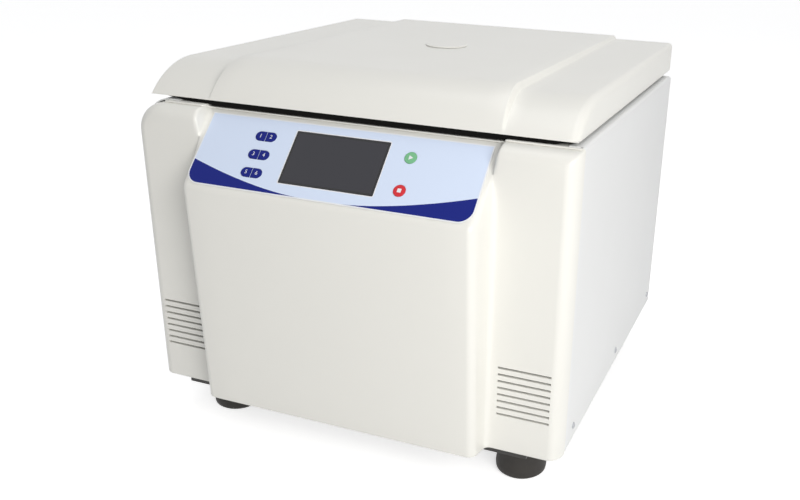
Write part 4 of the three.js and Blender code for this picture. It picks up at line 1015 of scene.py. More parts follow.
@dataclass
class Front:
    """The moulded front: two columns, the leaning bulge and the recessed slope."""

    half_width: float = 225.0
    bottom: float = 51.5
    top: float = 349.2
    rim: float = 347.4
    middle_rim: float = 344.5
    groove: float = 0.5
    groove_depth: float = 1.0
    lip_round: float = 0.4
    wall: float = 3.0
    mitre_power: float = 4.0
    edge_width: float = 12.0
    right_edge_depth: float = 18.0
    left_edge_depth: float = 14.0
    edge_columns: int = 10
    seam: float = 20.0
    back: float = 30.0
    lean: float = math.radians(2.8)
    nose: float = 10.0
    label_length: float = 77.4
    bulge_half: float = 150.0
    cheek_corner: float = 8.5
    cheek_corner_share: float = 0.36
    cheek_wall: float = 1.5
    cheek_root: float = 6.0
    cheek_root_share: float = 0.24
    flare: float = 3.0
    cheek_narrowing: float = 0.55
    flare_height: float = 25.5
    fade: float = 8.0
    foot_round: float = 2.2
    slot_x: tuple[float, float] = (161.5, 213.0)
    slot_top: float = 140.1
    slot_pitch: float = 6.95
    slot_count: int = 8
    slot_height: float = 2.1
    slope: Slope = field(default_factory=Slope)

    def __post_init__(self) -> None:
        """Works out the nose arc between the slope and the leaning face."""
        a, lean = self.slope.angle, self.lean
        setback = self.nose * math.tan((math.pi / 2 - a + lean) / 2)
        down = self.label_length + setback
        self.vertex_y = self.slope.top_y - down * math.cos(a)
        self.vertex_z = self.slope.top_z - down * math.sin(a)
        self.nose_start = self.vertex_z + setback * math.sin(a)
        self.nose_end = self.vertex_z - setback * math.cos(lean)
        self.nose_y = self.vertex_y + setback * math.sin(lean) + self.nose * math.cos(lean)
        self.nose_z = self.nose_end + self.nose * math.sin(lean)

    def centre(self, z: np.ndarray) -> np.ndarray:
        """Depth of the front's middle: the leaning face, then the nose's arc, then the slope.

        Args:
            z: heights.

        Returns:
            The Y of the surface at each height.
        """
        slope = self.slope.top_y - (self.slope.top_z - z) / math.tan(self.slope.angle)
        face = self.vertex_y + (self.vertex_z - z) * math.tan(self.lean)
        rise = np.clip((z - self.nose_z) / self.nose, -1, 1)
        arc = self.nose_y - self.nose * np.sqrt(1 - rise**2)
        return np.where(z >= self.nose_start, slope, np.where(z <= self.nose_end, face, arc))

    def cheek(self, offset: np.ndarray) -> np.ndarray:
        """Share of the way from the bulge to the column: a round corner, a wall, a hollow root.

        Args:
            offset: distance outwards from where the cheek starts.

        Returns:
            0 on the bulge to 1 on the column.
        """
        wall_end = self.cheek_corner + self.cheek_wall
        along = np.clip(offset / self.cheek_corner, 0, 1)
        corner = self.cheek_corner_share * (1 - np.sqrt(1 - along**2))
        up = np.clip((offset - self.cheek_corner) / self.cheek_wall, 0, 1)
        wall = self.cheek_corner_share + up * (1 - self.cheek_corner_share - self.cheek_root_share)
        left = np.clip((wall_end + self.cheek_root - offset) / self.cheek_root, 0, 1)
        root = 1 - self.cheek_root_share * (1 - np.sqrt(1 - left**2))
        return np.where(offset <= self.cheek_corner, corner, np.where(offset <= wall_end, wall, root))

    def rows(self) -> np.ndarray:
        """Heights of the grid's rows, with two at each slot's edges."""
        quarter = np.sin(np.linspace(0, 1, 12) * math.pi / 2)
        slots = self.slot_top - self.slot_pitch * np.arange(self.slot_count)
        flare_start = self.rim - self.flare_height
        return np.unique(
            np.round(
                np.concatenate(
                    [
                        self.bottom + self.foot_round * np.array([0, 0.08, 0.25, 0.5, 0.75, 1.0]),
                        slots - self.slot_height / 2,
                        slots + self.slot_height / 2,
                        np.linspace(62, 86, 3),
                        np.linspace(150, self.nose_end - 2, 8),
                        np.linspace(self.nose_end, self.nose_start, 14),
                        np.linspace(self.nose_start + 3, flare_start, 7),
                        np.linspace(flare_start, self.rim - self.edge_width, 8),
                        self.rim - self.edge_width * (1 - quarter),
                        self.rim + self.groove * np.array([0.04, 0.96, 1.0]),
                        self.top - self.lip_round * (1 - quarter[::3]),
                        [self.top],
                    ]
                ),
                4,
            )
        )

    def border(self, x: np.ndarray, z: np.ndarray, half: float, top: float, radius: float) -> np.ndarray:
        """Distance inside the outline, with a soft mitre where its side meets its top.

        border = (u**-p + v**-p)**(-1/p) for the distances u and v from the side and the top,
        and no more than the distance from the corner's arc.

        Args:
            x: distances from the middle.
            z: heights.
            half: half of the outline's width.
            top: its upper edge.
            radius: the radius of its corner.

        Returns:
            The distances.
        """
        p = self.mitre_power
        u, v = np.maximum(half - x, 1e-4), np.maximum(top - z, 1e-4)
        soft = (u**-p + v**-p) ** (-1 / p)
        qx, qz = x - (half - radius), z - (top - radius)
        round_corner = radius - np.hypot(np.maximum(qx, 0), np.maximum(qz, 0))
        return np.where((qx > 0) & (qz > 0), np.minimum(soft, round_corner), soft)

    def half_grid(self, inset: float, side: Side) -> np.ndarray:
        """One half of the front's grid, drawn in from the outside by an inset.

        y = centre + (column - centre) * cheek share. The columns' faces curve back round the
        outline as a quarter ellipse, edge_width wide and as deep as the side's own edge depth.
        Under the rounded upper lip runs a groove, which fades out towards the corner.

        Args:
            inset: how far inside the outer surface it lies.
            side: which half.

        Returns:
            Points shaped (rows, columns, 3), from the middle outwards, with positive X.
        """
        outer_rows = self.rows()
        flare_start = self.rim - self.flare_height
        z0 = np.interp(
            outer_rows,
            [self.bottom, 85.0, flare_start, self.rim, self.top],
            [self.bottom + inset, 85.0, flare_start, self.rim - inset, self.top - inset],
        )[:, None]
        top, half, radius = self.rim - inset, self.half_width - inset, max(side.shoulder - inset, 0.0)
        edge_depth = self.right_edge_depth if side is Side.RIGHT else self.left_edge_depth
        width, depth = self.edge_width - inset, edge_depth - inset
        rise = np.clip((z0 - flare_start) / (top - flare_start), 0, 1)
        flare = self.flare * rise**2
        centre_y = self.centre(z0)
        slope = self.centre(z0 + 0.5) - self.centre(z0 - 0.5)
        shift = inset * np.clip(-centre_y / self.fade, -1, 1)
        narrow = 1 - self.cheek_narrowing * rise
        start = self.bulge_half - (self.cheek_corner + self.cheek_wall / 2) * narrow + flare - shift
        arc_top = self.top - inset if side is Side.RIGHT else top
        lift = np.clip(z0 - (arc_top - radius), 0, radius)
        outer = half - radius + np.sqrt(np.maximum(radius**2 - lift**2, 0))
        sweep = np.sin(np.linspace(0, 1, 9) * math.pi / 2)
        turn = np.concatenate(
            [self.cheek_corner * sweep, self.cheek_corner + self.cheek_wall * np.array([0.5])]
        )
        root = self.cheek_corner + self.cheek_wall + self.cheek_root * (1 - sweep[::-1])
        offsets = np.concatenate([turn, root])[None, :]
        cheek_x = start + offsets * narrow
        flat_x = start * np.linspace(0, 1, 7)[:-1]
        edge_x = outer - width * (1 - np.sin(np.linspace(0, 1, self.edge_columns) * math.pi / 2))
        cheek_end, edge_start = cheek_x[:, -1:], edge_x[:, :1]
        nominal_end = self.bulge_half - self.cheek_corner - self.cheek_wall / 2 + offsets[0, -1]
        nominal_edge = self.half_width - self.edge_width
        slot_share = (self.slot_x[0] - nominal_end) / (nominal_edge - nominal_end)
        shares = np.concatenate([[slot_share], np.linspace(slot_share, 1, 5)[1:-1], [0.99]])
        column_x = cheek_end + (edge_start - cheek_end) * shares
        x = np.concatenate([flat_x, cheek_x, column_x, edge_x], axis=1)
        share = self.cheek((x - start) / narrow)
        z = z0 - (1 - share) * rise * (self.rim - self.middle_rim)
        edge = np.clip(1 - self.border(x, z0, half, top, radius) / width, 0, 1)
        column_y = depth * (1 - np.sqrt(1 - edge**2)) + inset
        over = np.maximum(z0 - top, 0)
        middle = self.centre(z - over) + inset * np.sqrt(1 + slope**2)
        y = middle + (column_y - middle) * share
        if inset == 0:
            up = over / self.groove
            fade = np.clip((self.half_width - 2 - np.broadcast_to(x, y.shape)) / 8, 0, 1)
            y = y + fade * np.interp(up, [0, 0.04, 0.96, 1.0], [0, self.groove_depth, self.groove_depth, 0.2])
            lip = np.clip(1 - (self.top - z0) / self.lip_round, 0, 1)
            y = y + self.lip_round * (1 - np.sqrt(1 - lip**2))
        low = np.clip(1 - (z - self.bottom - inset) / self.foot_round, 0, 1)
        y = y + (self.foot_round * (1 - np.sqrt(1 - low**2)) if inset == 0 else 0)
        return np.stack([x, y, np.broadcast_to(z, x.shape)], -1)

    def grid(self, inset: float) -> np.ndarray:
        """Both halves, with a border that runs back to the deck and the side covers.

        The border repeats the outermost points, with y = seam along the rounded edges, where
        the side covers begin, and y = back between them.

        Args:
            inset: how far inside the outer surface it lies.

        Returns:
            Points shaped (rows, columns, 3).
        """
        left = self.half_grid(inset, Side.LEFT)[:, :0:-1] * np.array([-1.0, 1.0, 1.0])
        full = np.pad(
            np.concatenate([left, self.half_grid(inset, Side.RIGHT)], axis=1),
            ((1, 1), (1, 1), (0, 0)),
            mode="edge",
        )
        reach = self.edge_columns + 1
        for row in (full[0], full[-1]):
            row[:, 1] = self.back
            row[:reach, 1] = row[-reach:, 1] = self.seam
        full[:, 0, 1] = full[:, -1, 1] = self.seam
        return full

    def slots(self, points: np.ndarray) -> np.ndarray:
        """Which cells of the grid are left standing between the ventilation slots.

        Args:
            points: the front's outer grid.

        Returns:
            A truth value for each cell.
        """
        middle = (points[:-1, :-1] + points[1:, 1:]) / 2
        x, z = np.abs(middle[..., 0]), middle[..., 2]
        across = (x > self.slot_x[0]) & (x < self.slot_x[1])
        number = (self.slot_top + self.slot_height / 2 - z) / self.slot_pitch
        low = self.slot_top - self.slot_pitch * (self.slot_count - 1) - self.slot_height / 2
        within = (number % 1) * self.slot_pitch < self.slot_height
        return ~(across & within & (number > 0) & (z > low))

    def build(self) -> None:
        """Builds the moulding and dresses it."""
        outer = self.grid(0.0)
        moulding = shell("front_moulding", outer, self.grid(self.wall), self.slots(outer))
        dressed(smoothed(moulding), CREAM, "cabinet", ["front_fascia"])


# Control panel


@dataclass
class Panel:
    """The label on the slope, with its screen, keys and buttons."""

    slope: Slope = field(default_factory=Slope)
    half_width: float = 144.6
    length: float = 77.4
    corner: float = 14.0
    face: float = 0.9
    base: float = 0.3
    gap: float = 0.3
    screen_half: float = 47.95
    screen_top: float = 9.5
    screen_height: float = 54.9
    pair_x: float = -78.4
    key_rows: tuple[float, ...] = (19.6, 39.2, 58.5)
    key_width: float = 10.6
    key_height: float = 9.8
    key_split: float = 0.9
    proud: float = 0.5
    stem: float = 5.5
    button_x: float = 71.2
    button_rows: tuple[float, float] = (22.1, 55.4)
    button_radius: float = 5.8
    band_start: float = 20.0
    band_end: float = 52.0
    band_power: float = 1.6
    line: float = 1.1

    def outline(self, inset: float = 0.0) -> np.ndarray:
        """The label's border, square above and round below."""
        half, radius = self.half_width - inset, self.corner - inset
        low = inset - self.length
        quarter = np.linspace(0, math.pi / 2, 17)
        right = np.stack(
            [half - radius + radius * np.sin(quarter), low + radius - radius * np.cos(quarter)], -1
        )
        left = right[::-1] * np.array([-1.0, 1.0])
        return np.concatenate([[[-half, -inset]], left, right, [[half, -inset]]])

    def band(self, side: Side) -> np.ndarray:
        """One of the dark corner bands, under a curve.

        The curve is v = length - k * (u - start) ^ power, reaching band_end at the label's side.

        Args:
            side: which corner.

        Returns:
            The band's outline.
        """
        inset = self.line
        half = self.half_width - inset
        u = np.linspace(self.band_start, half, 40)
        k = (self.length - inset - self.band_end) / (half - self.band_start) ** self.band_power
        v = self.length - inset - k * (u - self.band_start) ** self.band_power
        curve = np.stack([u, -v], -1)[::-1]
        radius = self.corner - inset
        quarter = np.linspace(0, math.pi / 2, 17)[1:]
        corner = np.stack(
            [
                half - radius + radius * np.sin(quarter),
                -self.length + inset + radius - radius * np.cos(quarter),
            ],
            -1,
        )
        ring = np.concatenate([curve, corner[:-1], [[half, -self.length + inset + radius]]])
        ring = ring[:-1] if np.allclose(ring[-1], ring[0]) else ring
        return ring * np.array([side.value, 1.0])

    def key(self, column: int, row: int, margin: float = 0.0) -> np.ndarray:
        """One half of a split pill key, grown by a margin all round.

        Args:
            column: -1 for the left half, 1 for the right half.
            row: the pair's row.
            margin: how far outside the key it runs.

        Returns:
            The outline: a straight side and a half circle.
        """
        radius = self.key_height / 2 + margin
        centre = self.pair_x + column * (self.key_split / 2 + self.key_width - self.key_height / 2)
        flat = self.pair_x + column * (self.key_split / 2 - margin)
        turn = 0.0 if column > 0 else math.pi
        angle = turn + np.linspace(-math.pi / 2, math.pi / 2, 17)
        y = -self.key_rows[row]
        arc = np.stack([centre + radius * np.cos(angle), y + radius * np.sin(angle)], -1)
        return np.concatenate([[[flat, arc[0, 1]]], arc, [[flat, arc[-1, 1]]]])

    def screen(self, margin: float = 0.0) -> np.ndarray:
        """The screen's outline, grown by a margin."""
        low = -self.screen_top - self.screen_height
        return rectangle(
            -self.screen_half - margin,
            self.screen_half + margin,
            low - margin,
            margin - self.screen_top,
            0.8 + margin,
            4,
        )

    def film(self) -> None:
        """The printed film: pale blue with dark corner bands and fine white lines."""
        holes = [self.screen(self.gap)]
        holes += [self.key(c, r, self.gap) for r in range(3) for c in (-1, 1)]
        holes += [circle(self.button_x, -v, self.button_radius + self.gap, 40) for v in self.button_rows]
        ring = self.screen(self.gap + 0.9)
        regions = [self.outline(self.line), self.band(Side.LEFT), self.band(Side.RIGHT), ring]
        film = plate("control_film", self.outline(), holes, self.base, self.face, self.slope.place, regions)
        finishes = [FILM_WHITE, FILM_BLUE, FILM_DARK, FILM_DARK, FILM_WHITE]
        dressed(smoothed(film), finishes, "cabinet", ["control_label"])

    def pill(
        self,
        name: str,
        rings: Callable[[float], np.ndarray],
        low: float,
        height: float,
        body: str,
        finish: Coat,
        node: str,
    ) -> None:
        """A key or button with a rounded edge and a flat top.

        The rings go up the stem and round the edge by a quarter circle.

        Args:
            name: the piece's name.
            rings: gives the outline at a margin.
            low: the stem's lower end.
            height: the top of the edge's rounding.
            body: the body that it rides on.
            finish: its finish.
            node: the CAD node that it stands for.
        """
        edge = 0.45
        quarter = np.linspace(0, math.pi / 2, 7)
        levels = [
            (0.0, low), *[(edge * (math.cos(q) - 1), height - edge + edge * math.sin(q)) for q in quarter]
        ]
        layers = []
        for margin, level in levels:
            ring = rings(margin)
            layers.append(np.column_stack([ring, np.full(len(ring), level)]))
        solid = stacked(name, self.slope.place(np.stack(layers)))
        dressed(smoothed(solid), finish, body, [node])

    def mark(self, name: str, outline: np.ndarray, body: str) -> None:
        """A thin white print on a key or a button.

        Args:
            name: the piece's name.
            outline: its border on the slope.
            body: the body that it rides on.
        """
        low = self.face + self.proud
        print_ = plate(name, outline, [], low, low + 0.03, self.slope.place)
        dressed(print_, PRINT_WHITE, body)

    def digit(self, number: int, x: float, y: float, body: str) -> None:
        """A plain number on a key, from the built-in type.

        Args:
            number: the number.
            x: its middle across the slope.
            y: its middle up the slope.
            body: the body that it rides on.
        """
        curve = bpy.data.curves.new(f"digit_{number}", "FONT")
        curve.body = str(number)
        curve.size = 5.6
        curve.align_x, curve.align_y = "CENTER", "CENTER"
        curve.extrude = 0.015
        curve.resolution_u = 4
        text = bpy.data.objects.new(curve.name, curve)
        bpy.context.scene.collection.objects.link(text)
        bpy.context.view_layer.update()
        mesh = bpy.data.meshes.new_from_object(text.evaluated_get(bpy.context.evaluated_depsgraph_get()))
        bpy.data.objects.remove(text)
        points = np.empty(len(mesh.vertices) * 3)
        mesh.vertices.foreach_get("co", points)
        points = points.reshape(-1, 3) + np.array([x, y, self.face + self.proud + 0.015])
        mesh.vertices.foreach_set("co", placed(self.slope.place(points)).ravel())
        mesh.name = f"key_number_{number}"
        obj = bpy.data.objects.new(mesh.name, mesh)
        bpy.context.scene.collection.objects.link(obj)
        dressed(obj, PRINT_WHITE, body)

    def build(self) -> None:
        """Builds the film, the screen, the keys and the buttons."""
        self.film()
        top = self.face + self.proud
        low = top - self.stem
        number = 0
        for row in range(3):
            for column in (-1, 1):
                number += 1
                rings = lambda margin, c=column, r=row: self.key(c, r, margin)
                body = f"key_{number}"
                self.pill(
                    f"key_cap_{number}", rings, low, top, body, KEY_BLUE, f"program_key_{number}"
                )
                x = self.pair_x + column * (self.key_split + self.key_width) / 2
                self.digit(number, x - column * 0.2, -self.key_rows[row], body)
        kinds = [
            ("start", self.button_rows[0], KEY_GREEN, "start_green"),
            ("stop", self.button_rows[1], KEY_RED, "stop_red"),
        ]
        for word, v, finish, slot in kinds:
            rings = lambda margin, d=v: circle(self.button_x, -d, self.button_radius + margin, 48)
            self.pill(f"{word}_cap", rings, low, top, f"{word}_key", finish, f"{word}_button")
        x, y = self.button_x, -self.button_rows[0]
        self.mark(
            "start_symbol", np.array([[x - 1.5, y - 2.3], [x + 2.6, y], [x - 1.5, y + 2.3]]), "start_key"
        )
        y = -self.button_rows[1]
        self.mark("stop_symbol", rectangle(x - 1.9, x + 1.9, y - 1.9, y + 1.9, 0.3, 3), "stop_key")
        self.display()
        board = refined("control_circuit_board", "control_board", 0.2, 1)
        dressed(board, BOARD, "cabinet", ["control_board"])

    def display(self) -> None:
        """The display: a glass window with a dark rim, over its case."""
        rim = 2.2
        regions = [self.screen(-rim)]
        glass = plate("display_window", self.screen(), [], -3.0, self.face - 0.05, self.slope.place, regions)
        dressed(smoothed(glass), [SCREEN_RIM, SCREEN], "cabinet")
        middle = -self.screen_top - self.screen_height / 2
        outline = rectangle(-52.75, 52.75, middle - 33.5, middle + 33.5, 1.5, 4)
        case = plate("display_case", outline, [], -9.3, -3.3, self.slope.place)
        dressed(bevelled(case, 0.4), SCREEN_RIM, "cabinet", ["display_module"])


# Cabinet


@dataclass
class Cabinet:
    """Side covers, deck, base, screws, feet and the rear cover."""

    half_width: float = 225.0
    sheet: float = 1.5
    cover_bottom: float = 53.7
    cover_top: float = 350.0
    lip: float = 12.0
    front: float = 20.3
    rear: float = 413.2
    depth: float = 415.0
    deck_top: float = 344.5
    deck_thickness: float = 2.0
    mouth: float = 131.6
    chamber_y: float = 247.5
    slot_half: float = 10.56
    striker_y: float = 66.0
    screw_y: tuple[float, ...] = (46.0, 222.5, 399.0)
    screw_z: float = 68.0

    def cover(self, side: Side) -> None:
        """A folded side cover: a wall with a round shoulder and a turned-in lip.

        Args:
            side: which side.
        """
        quarter = np.linspace(0, math.pi / 2, 17)
        corner = side.shoulder
        cx, cz = self.half_width - corner, self.cover_top - corner
        outer = np.stack([cx + corner * np.cos(quarter), cz + corner * np.sin(quarter)], -1)
        inner_radius = corner - self.sheet
        inner = np.stack(
            [cx + inner_radius * np.cos(quarter[::-1]), cz + inner_radius * np.sin(quarter[::-1])], -1
        )
        edge = cx - self.lip
        outline = np.concatenate(
            [
                [[self.half_width, self.cover_bottom]],
                outer,
                [[edge, self.cover_top], [edge, self.cover_top - self.sheet]],
                inner,
                [[self.half_width - self.sheet, self.cover_bottom]],
            ]
        ) * np.array([side.value, 1.0])

        def place(points: np.ndarray) -> np.ndarray:
            """Takes (x, z, y) to (x, y, z)."""
            return points[:, [0, 2, 1]]

        cover = plate(f"side_panel_{side.word}", outline, [], self.front, self.rear, place)
        welded(cover)
        dressed(bevelled(cover, 0.35), POWDER, "cabinet", [f"side_cover_{side.word}"])

    def screw(self, side: Side, number: int, y: float) -> None:
        """A pan-head screw with a cross recess.

        The head's height is a quarter ellipse of the radius, less a cross-shaped pit whose
        depth falls off with the distance from either arm's middle line.

        Args:
            side: which cover it holds.
            number: its place in the row.
            y: its distance behind the columns.
        """
        head, rise, recess = 3.4, 1.5, 0.8
        radii = np.array([0, 0.25, 0.5, 0.75, 1.0, 1.3, 1.6, 1.9, 2.2, 2.6, 3.0, 3.25, 3.4])
        angles = np.arange(48) * 2 * math.pi / 48
        r = radii[:, None]
        x, z = r * np.cos(angles), r * np.sin(angles)
        dome = rise * 0.8 * np.sqrt(np.maximum(1 - (r / head) ** 2, 0)) ** 0.7 + 0.0 * angles
        arm = np.minimum(np.maximum(np.abs(x) - 0.35, 0), np.maximum(np.abs(z) - 0.35, 0))
        pit = recess * np.clip(1 - arm / 0.25, 0, 1) * np.clip((1.9 - r) / 0.4, 0, 1)
        height = self.half_width + 0.3 + np.where(r < head, dome - pit, 0)
        cap = np.stack([height * side.value, y + x, self.screw_z + z], -1)
        skirt = np.stack(
            [np.full_like(x[-1], (self.half_width - 0.5) * side.value), y + x[-1], self.screw_z + z[-1]], -1
        )
        end = np.broadcast_to(np.array([(self.half_width - 0.5) * side.value, y, self.screw_z]), skirt.shape)
        points = np.concatenate([cap, skirt[None], end[None]])
        faces = quads(len(points), 48, closed_columns=True)
        screw = welded(new_object(f"cover_screw_{side.word}_{number}", placed(points.reshape(-1, 3)), faces))
        node = f"side_screw_{side.word}_{number}"
        dressed(smoothed(screw, 0.6), SCREW_STEEL, "cabinet", [node])

    def foot(self, place: str, side: Side) -> None:
        """A rubber foot: a bell that swells towards its rounded sole, with a screw hole.

        Args:
            place: "front" or "rear".
            side: which side.
        """
        node = f"foot_{place}_{side.word}"
        low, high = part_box(node)
        x = (low.x + high.x) / 2 / MM
        y = (low.y + high.y) / 2 / MM - CABINET_Y
        top = high.z / MM
        profile = rounded(
            [
                (0, 6), (6, 6), (6, 0.6), (8, 0), (21, 0), (25.4, 3.4), (26, 9), (24.6, 22),
                (23.3, 36), (23, top), (0, top),
            ],
            [0, 0.5, 1.0, 1.0, 3, 4, 8, 30, 20, 1.2, 0],
            8,
        )
        foot = turned_surface(f"rubber_{node}", profile, (x, y, 0), sides=96)
        dressed(smoothed(foot), RUBBER, "cabinet", [node])

    def deck(self) -> None:
        """The deck under the lid, with the chamber's mouth and the striker's slot."""
        low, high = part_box("top_deck")
        outline = rectangle(low.x / MM, high.x / MM, 30.3, 413.2, 0)
        slot = rectangle(-self.slot_half, self.slot_half, self.striker_y - 5, self.striker_y + 5, 1.5, 4)
        holes = [circle(0, self.chamber_y, self.mouth, 128), slot]
        deck = plate(
            "deck_plate", outline, holes, self.deck_top - self.deck_thickness, self.deck_top, lambda p: p
        )
        dressed(bevelled(deck, 0.4), CREAM, "cabinet", ["top_deck"])

    def rear_cover(self) -> None:
        """The rear cover, with its slots and the cut-outs for what it carries."""
        half, low, top = self.half_width, self.cover_bottom, self.cover_top
        corners = [(-half, low), (half, low), (half, top), (-half, top), (-half, low)]
        outline = rounded(corners, [0, 0, Side.RIGHT.shoulder, Side.LEFT.shoulder, 0], 12)[:-1]
        slot_half, slot_reach, slot_round = 42.7, 1.05, 1.04
        top_slot, pitch, count = 140.1, 6.95, 8
        middles = [top_slot - pitch * i for i in range(count)]
        slots = [
            rectangle(-slot_half, slot_half, z - slot_reach, z + slot_reach, slot_round, 5) for z in middles
        ]
        fan_hole = circle(-140, 140, 37.0, 96)
        inlet_hole = rectangle(135.9, 164.1, 99.8, 120.2, 1, 3)
        switch_hole = rectangle(136.2, 163.8, 141.2, 162.8, 1, 3)
        fuse_hole = circle(150, 188, 5.5, 32)
        holes = [fan_hole, inlet_hole, switch_hole, fuse_hole, *slots]

        def place(points: np.ndarray) -> np.ndarray:
            """Takes (x, z, y) to (x, y, z)."""
            return points[:, [0, 2, 1]]

        cover = plate("rear_panel", outline, holes, self.depth - self.sheet, self.depth, place)
        dressed(bevelled(cover, 0.25), REAR_POWDER, "cabinet", ["rear_cover"])

    def build(self) -> None:
        """Builds the cabinet's pieces."""
        for side in Side:
            self.cover(side)
            for number, y in enumerate(self.screw_y, 1):
                self.screw(side, number, y)
            for place in ("front", "rear"):
                self.foot(place, side)
        self.deck()
        self.rear_cover()
        base = refined("base_pan", "base_plate", 0.3, 1)
        dressed(base, DARK_PAINT, "cabinet", ["base_plate"])


# Lid


@dataclass
class Lid:
    """The lid: side parts with a round front, a raised middle, a liner and a cap."""

    half_width: float = 218.0
    front: float = 20.3
    rear: float = 443.0
    bottom: float = 353.0
    side_top: float = 382.6
    side_rise: float = 3.4
    side_arc: float = 90.0
    centre_top: float = 388.7
    centre_rise: float = 1.3
    centre_arc: float = 64.0
    centre_half: float = 148.5
    taper: float = 4.0
    taper_length: float = 45.0
    step: float = 4.0
    lip: float = 0.6
    wall: float = 3.0
    left_edge: float = 1.5
    right_edge: float = 9.0
    right_edge_rear: float = 4.0
    rear_edge: float = 3.0
    # Extent and middle dip of the dark strip under the front edge, set to the shaded gap under the lid:
    # painted shade as well as a seal.
    seal_x: tuple[float, float] = (-200.0, 212.0)
    seal_low: float = 349.6
    seal_dip: float = 348.0
    seal_turn: float = 148.0
    seal_slant: float = 4.0
    seal_taper: float = 30.0
    seal_depth: float = 6.0
    chamber_y: float = 247.5
    cap_radius: float = 23.0
    cap_proud: float = 1.6

    def arc_end(self, top: float, radius: float) -> float:
        """Depth at which an arc that starts at the lip reaches its top."""
        drop = top - self.bottom - self.lip
        return self.front + math.sqrt(2 * radius * drop - drop**2)

    def height(self, y: np.ndarray, top: float, radius: float, rise: float) -> np.ndarray:
        """Height at a depth: an arc up from the lip, then a slow rise to the rear.

        z = top - radius + sqrt(radius ** 2 - u ** 2), with u the distance before the arc's end.

        Args:
            y: depths.
            top: height at the arc's end.
            radius: the arc's radius.
            rise: how much it rises from there to the rear.

        Returns:
            Heights.
        """
        end = self.arc_end(top, radius)
        crown = top - radius + np.sqrt(radius**2 - np.clip(end - y, 0, radius) ** 2)
        behind = rise * np.maximum(y - end, 0) / (self.rear - end)
        return np.maximum(crown + behind, self.bottom + self.lip)

    def half_grid(self, inset: float, side: Side) -> np.ndarray:
        """One half of the lid's grid, drawn in from the outside by an inset.

        z = centre + (flank - centre) * smooth step, less a quarter circle at the outer edges.

        Args:
            inset: how far inside the outer surface.
            side: which half.

        Returns:
            Points shaped (rows, columns, 3), from the middle outwards, with positive X.
        """
        half, front, rear = self.half_width - inset, self.front + inset, self.rear - inset
        ends = (self.left_edge, self.left_edge)
        if side is Side.RIGHT:
            ends = (self.right_edge, self.right_edge_rear)
        sweep = np.sin(np.linspace(0, 1, 10) * math.pi / 2)
        reach = self.arc_end(self.side_top, self.side_arc) - self.front
        near = front + reach * np.linspace(0, 1, 46) ** 1.7
        far = np.linspace(front + reach, rear - self.rear_edge, 12)[1:-1]
        y = np.concatenate([near, far, rear - self.rear_edge * (1 - sweep)])[:, None]
        edge = np.maximum(ends[0] + (ends[1] - ends[0]) * (y - front) / (rear - front) - inset, 0.3)
        start = self.centre_half - inset / 2 - self.taper * np.clip((y - front) / self.taper_length, 0, 1)
        x = np.concatenate(
            [
                start * np.linspace(0, 1, 9)[:-1],
                start + self.step * np.linspace(0, 1, 17),
                start + self.step + (half - edge - start - self.step) * np.linspace(0, 1, 6)[1:-1],
                half - edge * (1 - sweep) + 0 * y,
            ],
            axis=1,
        )
        share = np.clip((x - start) / self.step, 0, 1)
        share = share**2 * (3 - 2 * share)
        centre = self.height(y - inset, self.centre_top, self.centre_arc, self.centre_rise) - inset
        flank = self.height(y - inset, self.side_top, self.side_arc, self.side_rise) - inset
        side_edge = np.clip((x - (half - edge)) / edge, 0, 1)
        rear_edge = np.clip((y - (rear - self.rear_edge)) / self.rear_edge, 0, 1)
        drop = edge * (1 - np.sqrt(1 - side_edge**2)) + self.rear_edge * (1 - np.sqrt(1 - rear_edge**2))
        z = np.maximum(centre + (flank - centre) * share - drop, self.bottom + max(self.lip - inset, 0))
        return np.stack([x, np.broadcast_to(y, x.shape), z], -1)

    def grid(self, inset: float) -> np.ndarray:
        """Both halves, with a border down to the lid's lower edge.

        Args:
            inset: how far inside the outer surface.

        Returns:
            Points shaped (rows, columns, 3).
        """
        left = self.half_grid(inset, Side.LEFT)[:, :0:-1] * np.array([-1.0, 1.0, 1.0])
        full = np.concatenate([left, self.half_grid(inset, Side.RIGHT)], axis=1)
        full = np.pad(full, ((1, 1), (1, 1), (0, 0)), mode="edge")
        for line in (full[0], full[-1], full[:, 0], full[:, -1]):
            line[:, 2] = self.bottom
        return full

    def build(self) -> None:
        """Builds the lid's pieces."""
        cover = shell("lid_cover", self.grid(0.0), self.grid(self.wall))
        dressed(smoothed(cover, 0.7), CREAM, "lid", ["lid_shell"])
        top = float(self.height(np.array(self.chamber_y), self.centre_top, self.centre_arc, self.centre_rise))
        seat, crown, wide = top + 0.3, top + self.cap_proud, self.cap_radius
        profile = rounded(
            [
                (0, top - 7), (20, top - 7), (20, seat), (wide, seat), (wide, top + 0.9),
                (21.6, crown), (0, crown),
            ],
            [0, 0.5, 0.2, 0.2, 0.4, 0.8, 0],
            5,
        )
        cap = turned_surface("lid_button", profile, (0, self.chamber_y, 0), sides=96)
        dressed(smoothed(cap), CREAM, "lid", ["lid_cap"])
        self.liner()
        dressed(refined("lid_catch", "lid_striker", 0.4), ZINC, "lid", ["lid_striker"])
        for side in Side:
            arm = refined(f"hinge_leaf_{side.word}", f"hinge_arm_{side.word}", 0.5)
            dressed(arm, ZINC, "lid", [f"hinge_arm_{side.word}"])
            bracket = refined(f"hinge_plate_{side.word}", f"hinge_bracket_{side.word}", 0.4)
            dressed(bracket, ZINC, "cabinet", [f"hinge_bracket_{side.word}"])
            low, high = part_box(f"hinge_pin_{side.word}")
            middle = ((low.y + high.y) / 2 / MM - CABINET_Y, (low.z + high.z) / 2 / MM)
            x0, x1, radius = low.x / MM, high.x / MM, 3
            profile = rounded([(0, x0), (radius, x0), (radius, x1), (0, x1)], [0, 0.6, 0.6, 0], 4)
            pin = turned_surface(f"hinge_axle_{side.word}", profile, (0, *middle), axis="x", sides=40)
            dressed(smoothed(pin), SHAFT_STEEL, "cabinet", [f"hinge_pin_{side.word}"])

